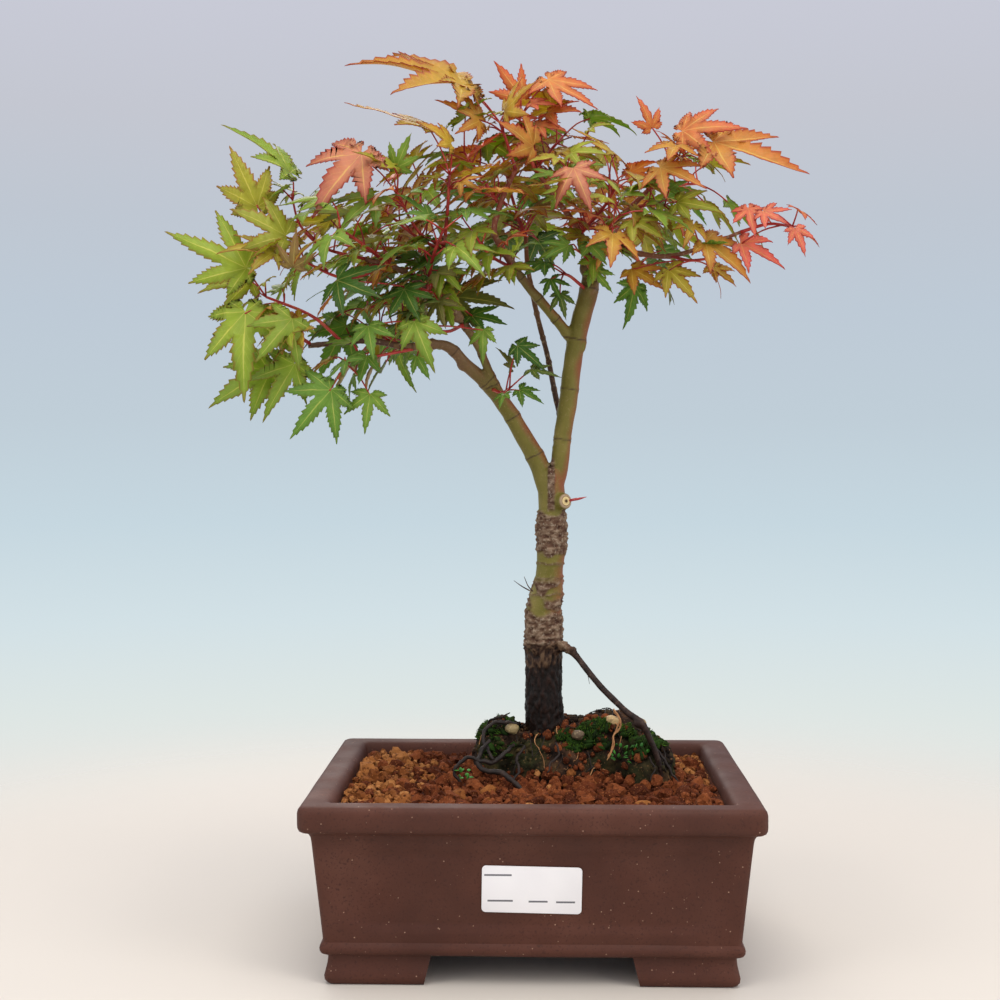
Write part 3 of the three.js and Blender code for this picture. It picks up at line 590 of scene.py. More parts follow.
def cork_share(place):
    """How corky the bark is: two belts with ragged edges, patches above the lower one, a seam."""
    edge = 4 * noise.noise(place * 0.16)
    belts = max(band(place.z + edge, 149, 170, 3), band(place.z + edge, 200.5, 223.5, 1.5))
    patch = band(place.z, 150, 187, 4) * band(noise.noise(place * 0.11 + Vector((3, 1, 7))), 0.1, 1, 0.12)
    rings = max(band(place.z + 0.4 * edge, height - 0.5, height + 0.5, 0.6) for height in (179.5, 188, 195.5))
    front_seam = band(place.x, SEAM["x"] - SEAM["half"], SEAM["x"] + SEAM["half"], 0.8)
    front_seam *= band(place.z, SEAM["low"], SEAM["high"], 2) * (place.y < 16)
    return max(belts, patch, 0.75 * rings, front_seam) if 90 < place.z < 260 and abs(place.x) < 26 else 0


def node_rings():
    """Where leaf pairs once stood on the limbs: (place, direction) about every 25 mm."""
    rings = []
    for limb, (first, gap) in zip(TRUNK_AND_LIMBS[1:6], ((30, 27), (20, 24), (90, 30), (14, 17), (12, 15))):
        route, run, due = smooth_route(limb, 1), 0, first
        for before, point in zip(route, route[1:]):
            run += (point - before).xyz.length
            if run > due:
                rings.append((point.xyz, (point - before).xyz.normalized(), point.w))
                due += gap
    return rings


def maple_bark():
    finish, tree, surface = new_finish("maple_bark", 0.7, 0.2)
    place = place_of(tree)
    cork = attribute(tree, "cork")
    depth = attribute(tree, "relief")
    ring = attribute(tree, "ring")
    parts = add_node(tree, "ShaderNodeSeparateXYZ", {"Vector": place}).outputs
    wander = sums(tree, "MULTIPLY", sums(tree, "SUBTRACT", grain(tree, 150, 3), 0.5), 0.022)
    height = sums(tree, "ADD", parts["Z"], wander)
    facing = add_node(tree, "ShaderNodeSeparateXYZ",
                      {"Vector": add_node(tree, "ShaderNodeNewGeometry").outputs["Normal"]}).outputs["X"]
    uneven = sums(tree, "MULTIPLY", sums(tree, "SUBTRACT", grain(tree, 60, 2), 0.5), 1.6)
    facing = sums(tree, "ADD", facing, uneven)
    green = steps(tree, grain(tree, 70, 3), [(0.3, srgb(100, 94, 38)), (0.55, srgb(114, 106, 48)),
                                             (0.75, srgb(130, 118, 62))])
    green = blend(tree, mask(tree, facing, 0.25, 1.0), green, srgb(130, 74, 46))
    branch = blend(tree, mask(tree, parts["X"], at(-16, 0, 0).x, at(-38, 0, 0).x), green, srgb(112, 86, 60))
    top = mask(tree, parts["Z"], 0.33, 0.352)
    branch = blend(tree, top, branch, srgb(104, 84, 54))
    fine = mask(tree, grain(tree, 900, 3), 0.6, 0.72)
    branch = blend(tree, sums(tree, "MULTIPLY", fine, 0.45), branch, srgb(150, 130, 90))
    branch = blend(tree, ring, branch, srgb(70, 52, 36))
    # Cork colour follows the bark's relief, pale on the raised flakes and dark down in the hollows: partly
    # the cork's own darker fissures, partly painted shade.
    corky = steps(tree, depth, [(0.08, srgb(66, 42, 32)), (0.34, srgb(88, 64, 50)), (0.58, srgb(104, 82, 65)),
                                (0.95, srgb(138, 117, 98))])
    fleck = mask(tree, grain(tree, 700, 3), 0.56, 0.68)
    corky = blend(tree, sums(tree, "MULTIPLY", fleck, 0.6), corky, srgb(170, 154, 134))
    crack = mask(tree, grain(tree, 480, 2), 0.42, 0.34)
    corky = blend(tree, sums(tree, "MULTIPLY", crack, 0.55), corky, srgb(92, 62, 50))
    bark = blend(tree, cork, branch, corky)
    # The rough band goes near black where its relief is low: partly its own dark fissures, partly painted
    # shade in the hollows.
    rough = steps(tree, depth, [(0.15, srgb(27, 16, 12)), (0.5, srgb(56, 37, 27)), (0.9, srgb(96, 74, 55))])
    bark = blend(tree, mask(tree, height, 0.154, 0.151), bark, rough)
    # The wet band is darkest in the hollows of its relief: partly its own dark fissures, partly painted
    # shade.
    wet = steps(tree, depth, [(0.2, srgb(15, 8, 5)), (0.6, srgb(27, 14, 9)), (1, srgb(42, 24, 17))])
    soaked = mask(tree, height, 0.1435, 0.1405)
    bark = blend(tree, soaked, bark, wet)
    root = mask(tree, parts["X"], at(19, 0, 0).x, at(23, 0, 0).x)
    root = sums(tree, "MULTIPLY", root, mask(tree, parts["Z"], 0.2, 0.18))
    root_bark = steps(tree, grain(tree, 300, 3), [(0.35, srgb(28, 18, 15)), (0.6, srgb(54, 38, 32)),
                                                  (0.8, srgb(92, 74, 64))])
    bark = blend(tree, root, bark, root_bark)
    centre = at(*SCAR_MIDDLE)
    off = add_node(tree, "ShaderNodeVectorMath", {0: place, 1: centre},
                   operation="SUBTRACT").outputs["Vector"]
    out = Vector(SCAR_OUT).normalized()
    ahead = add_node(tree, "ShaderNodeVectorMath", {0: off, 1: out}, operation="DOT_PRODUCT").outputs["Value"]
    reach = add_node(tree, "ShaderNodeVectorMath", {0: off}, operation="LENGTH").outputs["Value"]
    disc = add_node(tree, "ShaderNodeMapRange", {"Value": reach, "From Max": 5 * MM}).outputs["Result"]
    sawn = steps(tree, disc, [
        (0, srgb(60, 42, 24)), (0.14, srgb(70, 50, 28)), (0.22, srgb(196, 172, 120)),
        (0.44, srgb(214, 194, 142)), (0.5, srgb(120, 92, 62)), (0.6, srgb(168, 146, 118)),
        (0.9, srgb(128, 104, 84))])
    on_scar = sums(tree, "MULTIPLY", mask(tree, disc, 0.86, 0.74), mask(tree, ahead, -1.2 * MM, -0.4 * MM))
    bark = blend(tree, on_scar, bark, sawn)
    tree.links.new(bark, surface.inputs["Base Color"])
    roughness = add_node(tree, "ShaderNodeMapRange", {"Value": cork, "To Min": 0.5, "To Max": 0.85})
    tree.links.new(roughness.outputs["Result"], surface.inputs["Roughness"])
    relief(tree, surface, [(grain(tree, 1800, 3), 0.00025, 0.5), (grain(tree, 600, 3), 0.0004, 0.4)])
    return finish


def twig_bark():
    finish, tree, surface = new_finish("twig_bark", 0.5, 0.3)
    parts = add_node(tree, "ShaderNodeSeparateXYZ", {"Vector": place_of(tree)}).outputs
    height = sums(tree, "ADD", parts["Z"], sums(tree, "MULTIPLY", grain(tree, 90, 2), 0.03))
    body = steps(tree, mask(tree, height, 0.27, 0.42), [
        (0, srgb(62, 42, 34)), (0.35, srgb(78, 54, 42)), (0.6, srgb(118, 84, 62)), (0.85, srgb(132, 66, 48)),
    ])
    body = blend(tree, mask(tree, grain(tree, 500, 3), 0.55, 0.7), body, srgb(150, 128, 100))
    tree.links.new(body, surface.inputs["Base Color"])
    relief(tree, surface, [(grain(tree, 900, 3), 0.0002, 0.5)])
    return finish


red_bud = grained("red_bud", 0.35, (600, 2), [(0.35, srgb(140, 34, 44)), (0.7, srgb(196, 84, 84))])
wood = bmesh.new()
for limb in TRUNK_AND_LIMBS:
    stem(wood, smooth_route(limb, 2), 20)
for middle, radii in KNOTS:
    lumpy(wood, at(*middle), radii, 0.1, random.Random(middle[2]), 3)
sawn_face = Vector(SCAR_OUT).normalized()
cut_out = [Vector((*(Vector(SCAR_MIDDLE) + sawn_face * run), radius))
           for run, radius in ((-4, 4.4), (-1.2, 4.4), (0, 3.7))]
stem(wood, cut_out, 20)
wood_piece = link_piece("tree_wood_body", wood, [maple_bark(), twig_bark(), red_bud])
grown = wood_piece.modifiers.new("grown", "REMESH")
grown.mode = "VOXEL"
grown.voxel_size = WOOD_VOXEL * MM
softened = wood_piece.modifiers.new("softened", "SMOOTH")
softened.iterations = 3
settle_modifiers(wood_piece)

wood = bmesh.new()
wood.from_mesh(wood_piece.data)
cork_of = wood.verts.layers.float.new("cork")
relief_of = wood.verts.layers.float.new("relief")
ring_of = wood.verts.layers.float.new("ring")
rings = node_rings()
moves = []
for point in wood.verts:
    place = (point.co - POT_MIDDLE) / MM
    cork = cork_share(place)
    flat = Vector((place.x, place.y, place.z * 2.2))
    crumbly = 0.55 + 0.75 * noise.noise(flat * 0.28) + 0.5 * noise.noise(flat * 0.75)
    upright = Vector((place.x * 1.6, place.y * 1.6, place.z * 0.5))
    fissured = 0.5 + 0.8 * noise.noise(upright * 0.5) + 0.45 * noise.noise(upright * 1.3)
    low_bark = band(place.z, -50, 151, 3) * (place.x < 19)
    lift = cork * (1.5 * crumbly - 0.1) + low_bark * (1 - cork) * (0.9 * fissured - 0.4)
    lift += 0.35 * noise.noise(place * 0.12)
    mark = 0
    for middle, direction, radius in rings:
        off = place - middle
        if off.length < radius * 2.2:
            ahead = abs(off.dot(direction) + 0.4 * noise.noise(place * 0.4))
            mark = max(mark, band(ahead, -1, 0.32, 0.5))
            lift += 0.4 * band(ahead, -1, 1.1, 1.6) - 0.3 * band(ahead, -1, 0.3, 0.5)
    on_scar = (place - Vector(SCAR_MIDDLE)).length < 4.4
    # The same height field also colours the bark, darker where the surface sinks: partly the bark's own
    # fissures, partly painted shade.
    deep = crumbly if cork > low_bark else fissured
    moves.append((0 if on_scar else lift, 0 if on_scar else cork, deep, mark))
wood.normal_update()
for point, (lift, cork, deep, mark) in zip(wood.verts, moves):
    point.co += point.normal * lift * MM
    point[cork_of], point[relief_of], point[ring_of] = cork, deep, mark
bars = []
for twig in TWIGS:
    twig_route = smooth_route(twig, 1.6)
    for k, point in enumerate(twig_route):
        point.w *= 1 + 0.12 * noise.noise(point.xyz * 0.5) + 0.22 * band(k % 9, -1, 0.5, 1)
    bars.append((twig_route, 8, 1))
bud = [(19.5, 11, 229.4, 0.7), (21.5, 10.4, 229.9, 0.75), (24.5, 9.8, 230.4, 0.65), (28.5, 9.4, 231.4, 0.12)]
bars.append((smooth_route(bud, 0.8), 8, 2))
for dead in ([(0, 12.5, 181, 0.4), (-2.5, 11, 184, 0.3), (-4.5, 10, 189, 0.15)],
             [(-1, 12, 181, 0.4), (-6, 10, 184, 0.3), (-10, 9, 187, 0.12)],
             [(28, 4.5, 142, 0.3), (29, 3.5, 138, 0.2), (30, 3, 133, 0.1)],
             [(46, -6, 124, 0.3), (45, -8, 121, 0.2), (47, -9, 118, 0.1)]):
    bars.append((smooth_route(dead, 1), 5, 1))
in_batches(wood, bars, stem, 3)
wood.to_mesh(wood_piece.data)
wood.free()
wood_piece.data.shade_smooth()
wood_piece.name = "tree_wood_grown"
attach(wood_piece, "root")
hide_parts("tree_wood")

# ------------------------------------------------------------------ root ball
# The old, dark soil that the roots still hold, left standing as a mound when the tree was
# repotted: crumbs and a few fresh grains lie on it, and bare roots loop out at the left.

ROOT_LOOPS = [
    [(-10, 2, 101, 1), (-14, -4, 98, 1.1), (-20, -8, 94, 1.2), (-27, -11, 95, 1.1), (-33, -12, 97, 1),
     (-38, -13, 94, 1), (-40, -14, 89, 0.9), (-37, -15, 84, 0.8)],
    [(-22, -2, 104, 0.9), (-27, -8, 99, 1.1), (-28, -13, 93, 1.3), (-22, -17, 90.5, 1.4), (-15, -20, 90, 1.5),
     (-8, -24, 86, 1.3), (-3, -27, 82, 1)],
    [(-8, 10, 110, 0.8), (-15, 7, 112, 0.9), (-22, 5, 111, 0.9), (-26, 1, 106, 1), (-24, -3, 100, 1),
     (-20, -8, 95, 0.8)],
    [(-25, 10, 108, 0.5), (-22, 8, 113, 0.5), (-16, 7, 115, 0.5), (-12, 6, 117, 0.3)],
    [(-4, 2, 100, 0.7), (-8, -4, 95, 0.8), (-7, -10, 90, 0.7), (-10, -15, 86, 0.5)],
    [(12, -2, 103, 0.6), (14, -6, 98, 0.6), (10, -10, 94, 0.5), (8, -12, 89, 0.4)],
    [(62, -8, 104, 0.7), (68, -9, 96, 0.8), (72, -10, 89, 0.7), (76, -12, 84, 0.4)],
    [(60, -12, 98, 0.4), (63, -14, 92, 0.4), (60, -16, 86, 0.3)],
]
STRAW_ROOT = [
    (43, 2, 119, 0.5), (45.5, -1, 116, 0.6), (45, -3, 111, 0.6), (42.5, -6, 106, 0.5), (41, -8, 101, 0.5),
    (39, -10, 96, 0.3),
]
FINE_ROOTS, FINE_ROOT_STEPS = 90, 9
CRUMBS = 520
SOIL_VOXEL = 1.25


def mound_height(x, y):
    """The height of the root ball's top at a place, or 0 beside it."""
    heights = [0]
    for (mx, my, mz), (rx, ry, rz) in MOUND:
        left = 1 - ((x - mx) / rx) ** 2 - ((y - my) / ry) ** 2
        if left > 0:
            heights.append(mz + rz * math.sqrt(left))
    return max(heights)


def old_soil():
    finish, tree, surface = new_finish("old_soil", 0.95, 0.15)
    tone = steps(tree, grain(tree, 120, 4), [(0.32, srgb(22, 15, 12)), (0.5, srgb(44, 31, 24)),
                                             (0.66, srgb(78, 54, 38))])
    tone = blend(tree, mask(tree, grain(tree, 700, 3), 0.6, 0.7), tone, srgb(120, 88, 60))
    algae = sums(tree, "MULTIPLY", mask(tree, grain(tree, 60, 3), 0.5, 0.62), 0.35)
    tone = blend(tree, algae, tone, srgb(38, 60, 22))
    tree.links.new(tone, surface.inputs["Base Color"])
    relief(tree, surface, [(grain(tree, 900, 4), 0.0005, 0.8), (grain(tree, 300, 3), 0.0009, 0.6)])
    return finish


bare_root = grained("bare_root", 0.6, (260, 3), [
    (0.35, srgb(20, 13, 11)), (0.6, srgb(38, 26, 21)), (0.78, srgb(70, 50, 38))], (1200, 3, 0.0002, 0.5))
straw_root = grained("straw_root", 0.6, (400, 3), [(0.3, srgb(142, 90, 52)), (0.7, srgb(198, 146, 96))],
                     (1200, 2, 0.0002, 0.5))
rng = random.Random(23)
ball = bmesh.new()
for middle, radii in MOUND:
    for point in bmesh.ops.create_icosphere(ball, subdivisions=4, radius=1)["verts"]:
        point.co = at(*[value + share * radius for value, share, radius in zip(middle, point.co, radii)])
ball_piece = link_piece("root_ball_body", ball, [old_soil(), bare_root, straw_root, grit_finish])
knit = ball_piece.modifiers.new("knit", "REMESH")
knit.mode = "VOXEL"
knit.voxel_size = SOIL_VOXEL * MM
settle_modifiers(ball_piece)
ball = bmesh.new()
ball.verts.layers.float.new("shade")
ball.verts.layers.float.new("ochre")
ball.from_mesh(ball_piece.data)
ball.normal_update()
for point in ball.verts:
    place = (point.co - POT_MIDDLE) / MM
    if place.z > 78:
        lift = 2.6 * noise.noise(place * 0.09) + 1.5 * noise.noise(place * 0.26)
        lift += 0.8 * noise.noise(place * 0.7)
        point.co += point.normal * (lift - 0.6) * MM
crumbs = []
while len(crumbs) < CRUMBS:
    x, y = rng.uniform(-32, 76), rng.uniform(-14, 52)
    height = mound_height(x, y)
    if height > 86:
        fresh = math.hypot((x - 24) / 20, (y - 4) / 14) < 1 or rng.random() < 0.12
        radius = rng.uniform(0.7, 2.6 if fresh else 1.9)
        crumbs.append((at(x, y, height - 0.2), [radius * rng.uniform(0.8, 1.15) for _ in range(3)], 0.35, rng,
                       2, rng.random(), 0, 3 if fresh else 0))
in_batches(ball, crumbs, lay_stone, 60)
bars = []
for loop in ROOT_LOOPS:
    route = smooth_route(loop, 1.2)
    for point in route:
        point.xyz += noise.noise_vector(point.xyz * 0.3) * 0.9
        point.w *= 1 + 0.3 * noise.noise(point.xyz * 0.9)
    bars.append((route, 7, 1))
for strand in range(3):
    route = smooth_route(STRAW_ROOT, 1.5)
    for point in route:
        point.xyz += noise.noise_vector(point.xyz * 0.22 + Vector((strand * 7, 0, 0))) * 1.8
        point.w *= 0.75
    bars.append((route, 5, 2))
for number in range(FINE_ROOTS):
    x, y = rng.uniform(-30, 70), rng.uniform(-12, 44)
    heading = rng.uniform(0, math.tau)
    hair = []
    for step in range(FINE_ROOT_STEPS):
        height = mound_height(x, y)
        if height < 80:
            break
        wave = 0.9 * noise.noise(Vector((x, y, number)) * 0.4)
        hair.append((x, y, height + 1.1 + wave, 0.34 - 0.025 * step))
        heading += rng.uniform(-0.7, 0.7)
        x, y = x + 2.1 * math.cos(heading), y + 2.1 * math.sin(heading)
    if len(hair) > 3:
        bars.append((smooth_route(hair, 1.1), 4, 1 if rng.random() < 0.8 else 2))
in_batches(ball, bars, stem, 6)
ball.to_mesh(ball_piece.data)
ball.free()
ball_piece.data.shade_smooth()
ball_piece.name = "root_ball_soil"
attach(ball_piece, "root")
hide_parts("root_ball")

# ------------------------------------------------------------------ pebbles
# Four small river pebbles, worn smooth, that lie on the root ball where they were caught in
# the old soil.

PEBBLES = {
    "pebble_left": ((-11, 9, 108), (3.6, 3.2, 2.8), 0.55),
    "pebble_middle": ((24, 3, 106), (3.2, 2.8, 2.6), 0.1),
    "pebble_right": ((42, 10, 112.5), (4.2, 3.4, 2.8), 0.9),
    "pebble_end": ((57, 20, 109.5), (3.8, 3.2, 2.8), 0.7),
}


def river_pebble():
    finish, tree, surface = new_finish("river_pebble", 0.6)
    shade = attribute(tree, "shade")
    tone = steps(tree, shade, [(0, srgb(84, 66, 56)), (0.5, srgb(138, 122, 84)), (1, srgb(196, 164, 116))])
    tone = blend(tree, mask(tree, grain(tree, 320, 4), 0.52, 0.66), tone, srgb(104, 86, 58))
    tone = blend(tree, mask(tree, grain(tree, 900, 2), 0.62, 0.72), tone, srgb(214, 194, 150))
    tree.links.new(tone, surface.inputs["Base Color"])
    relief(tree, surface, [(grain(tree, 800, 3), 0.0003, 0.5)])
    return finish


pebble_finish = river_pebble()
for name, (middle, radii, shade) in PEBBLES.items():
    pebble = bmesh.new()
    shade_of = pebble.verts.layers.float.new("shade")
    for point in bmesh.ops.create_icosphere(pebble, subdivisions=4, radius=1)["verts"]:
        dent = 1.04 + 0.16 * noise.noise(point.co * 1.2 + Vector(middle)) + 0.05 * noise.noise(point.co * 4)
        point.co = at(*[value + share * radius * dent
                        for value, share, radius in zip(middle, point.co, radii)])
        point[shade_of] = shade
    stone = link_piece(f"{name}_stone", pebble, [pebble_finish])
    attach(stone, "root")
    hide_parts(name)

# ------------------------------------------------------------------ moss
# Cushions of short green moss that grow on the old soil in patches, each a low pad with
# many upright tips, and a few tiny round leaves of a creeping weed.

MOSS = {
    "moss_left": ((-20, 10, 104), (13, 15, 13), 32, 420, 0.08),
    "moss_front": ((30, 0, 106), (20, 14, 12), 60, 1400, 0.04),
    "moss_right": ((54, 4, 103), (17, 15, 13), 60, 1200, 0.04),
}
WEED_LEAVES = {"moss_left": ((-34, -17, 90), (5, 3, 2.5), 10), "moss_front": ((47, -6, 99), (6, 3, 5), 16),
               "moss_right": ((58, -8, 101), (5, 3, 4), 6)}


def moss_green():
    finish, tree, surface = new_finish("moss_green", 0.9, 0.15)
    shade = attribute(tree, "shade")
    tone = steps(tree, shade, [(0, srgb(18, 30, 9)), (0.5, srgb(38, 64, 17)), (1, srgb(84, 118, 36))])
    tone = blend(tree, mask(tree, grain(tree, 140, 3), 0.55, 0.7), tone, srgb(42, 40, 18))
    tree.links.new(tone, surface.inputs["Base Color"])
    relief(tree, surface, [(grain(tree, 1800, 3), 0.0004, 0.7)])
    return finish


def moss_tip(part, place, outward, rng):
    """A thin three-sided tip that leans its own way."""
    lean = (outward + Vector([rng.uniform(-0.5, 0.5) for _ in range(3)])).normalized()
    length = rng.uniform(1.2, 2.8) * MM
    stand = Matrix.Translation(place + lean * length * 0.4)
    stand = stand @ lean.to_track_quat("Z", "Y").to_matrix().to_4x4()
    tip = bmesh.ops.create_cone(part, cap_ends=True, segments=3, radius1=0.42 * MM, radius2=0.05 * MM,
                                depth=length, matrix=stand)
    shade, shade_of = rng.random(), part.verts.layers.float["shade"]
    for point in tip["verts"]:
        point[shade_of] = shade


moss_finish = moss_green()
weed_finish = grained("weed_green", 0.45, (300, 2), [(0.3, srgb(28, 84, 34)), (0.7, srgb(70, 138, 48))],
                      (900, 2, 0.0001, 0.4))
for name, (middle, radii, pad_count, tip_count, bare) in MOSS.items():
    rng = random.Random(name)
    spots, pads = [], []
    while len(spots) < tip_count:
        x, y = [value + radius * rng.uniform(-1, 1) for value, radius in zip(middle[:2], radii)]
        place = Vector((x, y, mound_height(x, y)))
        inside = sum(((value - m) / r) ** 2 for value, m, r in zip(place, middle, radii)) < 1
        if not inside or noise.noise(place * 0.13) < bare:
            continue
        outward = (place - Vector((24, 24, 70))).normalized()
        if len(pads) < pad_count:
            size = rng.uniform(1.6, 3.4)
            pads.append((at(*place) + outward * 0.2 * MM, [size, size * 0.9, 1.1], 0.3, rng, 2,
                         rng.random() * 0.5, 0, 0))
        spots.append((at(*(place + outward * 0.7)), outward, rng))
    cushion = bmesh.new()
    cushion.verts.layers.float.new("shade")
    in_batches(cushion, pads, lay_stone, 60)
    in_batches(cushion, spots, moss_tip, 150)
    (wx, wy, wz), reach, leaf_count = WEED_LEAVES[name]
    weeds = [(at(*[value + r * rng.uniform(-1, 1) for value, r in zip((wx, wy, wz), reach)]),
              [rng.uniform(0.9, 1.7), rng.uniform(0.8, 1.3), 0.28], 0.15, rng, 2, rng.random(), 0, 1)
             for _ in range(leaf_count)]
    in_batches(cushion, weeds, lay_stone, 60)
    moss_piece = link_piece(f"{name}_cushion", cushion, [moss_finish, weed_finish])
    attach(moss_piece, "root")
    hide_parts(name)

# ------------------------------------------------------------------ leafy shoots
# Each shoot grew as one piece: a thin twig with its leaves in crossed pairs, every leaf a
# toothed blade of five or seven lobes on a thin red stalk. Outer and upper leaves are younger
# and warmer in colour.

SHOOTS = {
    "crown_top_left": ("gold", [(-9, -3, 401), (-13, -3, 414), (-17, -4, 425)], [
        (-36, -10, 443, -92, -22, 460, 28), (-31, -2, 441, -65, -16, 454, 25),
        (-27, -14, 424, -46, -30, 433, 60), (-14, -16, 428, -2, -34, 440, 60)]),
    "crown_top_right": ("orange", [(1, 6, 403), (-5, 6, 418), (-7, 3, 429)], [
        (-6, 0, 438, -18, -14, 454, 70), (8, 4, 449, 34, -6, 432, 40),
        (8, 10, 433, 24, -6, 432, 50), (0, -14, 411, -16, -32, 420, 75)]),
    "crown_left": ("gold", [(-45, -11, 365), (-43, -19, 381), (-42, -22, 395)], [
        (-41, -30, 409, -54, -46, 418, 60), (-52, -10, 421, -95, -18, 435, 18),
        (-31, -34, 393, -19, -60, 395, 30), (-14, -40, 383, -16, -66, 382, 20)]),
    "crown_left_low": ("lime", [(-45, -13, 361), (-58, -18, 367), (-68, -28, 385)], [
        (-68, -30, 397, -61, -36, 413, 80), (-69, -34, 397, -88, -48, 402, 40),
        (-85, -36, 403, -108, -56, 373, 50, "rose"), (-78, -34, 382, -95, -54, 366, 45)]),
    "left_top": ("lime", [(-84, -19, 353), (-106, -18, 359), (-118, -20, 370), (-122, -20, 383)], [
        (-123, -20, 397, -150, -26, 427, 20), (-123, -6, 390, -133, -22, 391, 40),
        (-111, -40, 374, -95, -60, 374, 40)]),
    "left_upper_outer": ("lime", [(-74, -19, 349), (-95, -24, 343), (-115, -27, 351), (-126, -29, 356)], [
        (-138, -30, 378, -151, -36, 408, 75), (-123, -34, 363, -147, -46, 376, 65),
        (-128, -36, 355, -153, -50, 357, 45), (-118, -42, 346, -115, -58, 360, 85, "dry")]),
    "left_outer": ("lime", [(-98, -19, 312), (-112, -25, 324), (-134, -30, 333)], [
        (-143, -34, 347, -181, -44, 365, 65), (-144, -16, 343, -168, -28, 340, 60),
        (-143, -38, 325, -141, -58, 282, 90)]),
    "left_mid": ("green", [(-113, -23, 310), (-118, -27, 313), (-122, -30, 312)], [
        (-119, -42, 321, -135, -54, 299, 88), (-119, -34, 299, -134, -44, 271, 78),
        (-133, -26, 296, -162, -38, 281, 72)]),
    "left_low": ("green", [(-62, -10, 308), (-74, -18, 305), (-94, -31, 300)], [
        (-100, -40, 286, -119, -50, 263, 85), (-81, -36, 284, -83, -44, 265, 85),
        (-83, -32, 303, -86, -42, 288, 80), (-97, -2, 321, -112, -8, 294, 80)]),
    "centre_low": ("green", [(-36, -5, 321), (-45, -10, 317), (-58, -28, 320)], [
        (-58, -46, 319, -48, -56, 295, 88), (-81, -44, 317, -77, -56, 300, 82),
        (-59, -20, 304, -52, -26, 292, 80), (-25, -24, 317, -25, -32, 300, 82)]),
    "centre_mid": ("dark", [(-42, -8, 331), (-46, -16, 334), (-52, -26, 336)], [
        (-96, -46, 339, -73, -64, 330, 70), (-64, -34, 336, -55, -52, 320, 70),
        (-32, -2, 326, -13, -8, 321, 45), (-43, 12, 337, -11, 2, 334, 60)]),
    "fork_shoot": ("dark", [(-21, 7, 288), (-16, 0, 286), (-12, -6, 288)], [
        (-8, -6, 310, 7, -12, 298, 60), (-1, -8, 298, 15, -14, 294, 35),
        (-7, -9, 287, 6, -14, 280, 45), (-11, 0, 299, -18, -4, 310, 30)]),
    "right_limb_shoot": ("dark", [(28, 13, 341), (20, 7, 347), (16, 2, 348)], [
        (14, -4, 337, 17, -10, 324, 88), (9, -2, 345, 15, -8, 333, 60), (6, -6, 353, -5, -16, 345, 40)]),
    "knuckle_shoot": ("green", [(30, 13, 352), (27, 2, 357), (23, -6, 359)], [
        (18, -16, 360, 7, -26, 354, 78), (31, -6, 349, 41, -14, 337, 60), (29, -14, 361, 37, -30, 350, 50)]),
    "right_top": ("orange", [(61, 0, 391), (70, -4, 401), (75, -6, 406)], [
        (91, -20, 411, 137, -34, 393, 48), (76, -14, 418, 105, -30, 420, 60), (61, -8, 421, 54, -14, 436, 72),
        (72, -22, 409, 66, -44, 398, 50), (64, -22, 398, 85, -40, 387, 55)]),
    "right_mid": ("lime", [(51, 5, 382), (60, -1, 383), (68, -4, 382)], [
        (73, -20, 381, 93, -34, 377, 65), (50, -22, 372, 65, -36, 362, 55),
        (55, -10, 392, 61, -30, 394, 40), (64, 10, 380, 87, 4, 375, 30)]),
    "right_low": ("gold", [(71, -5, 356), (80, -11, 353), (88, -16, 353)], [
        (87, -20, 361, 110, -30, 343, 45), (81, -20, 370, 75, -34, 357, 80), (69, -14, 348, 83, -24, 332, 68),
        (51, -2, 350, 67, -14, 340, 50), (92, -8, 350, 104, -14, 340, 40)]),
    "right_outer": ("coral", [(105, -20, 366), (118, -26, 369), (129, -30, 367)], [
        (108, -24, 377, 110, -36, 362, 75), (115, -28, 375, 126, -40, 366, 60),
        (130, -32, 366, 135, -38, 353, 60), (105, -18, 361, 127, -26, 349, 55)]),
    "crown_right": ("lime", [(13, 5, 387), (16, -8, 390), (19, -18, 395)], [
        (20, -38, 395, 28, -54, 375, 80, "rose"), (29, 0, 422, 40, -8, 425, 40),
        (19, -20, 406, 36, -34, 406, 55), (6, -44, 386, 13, -68, 384, 30)]),
}
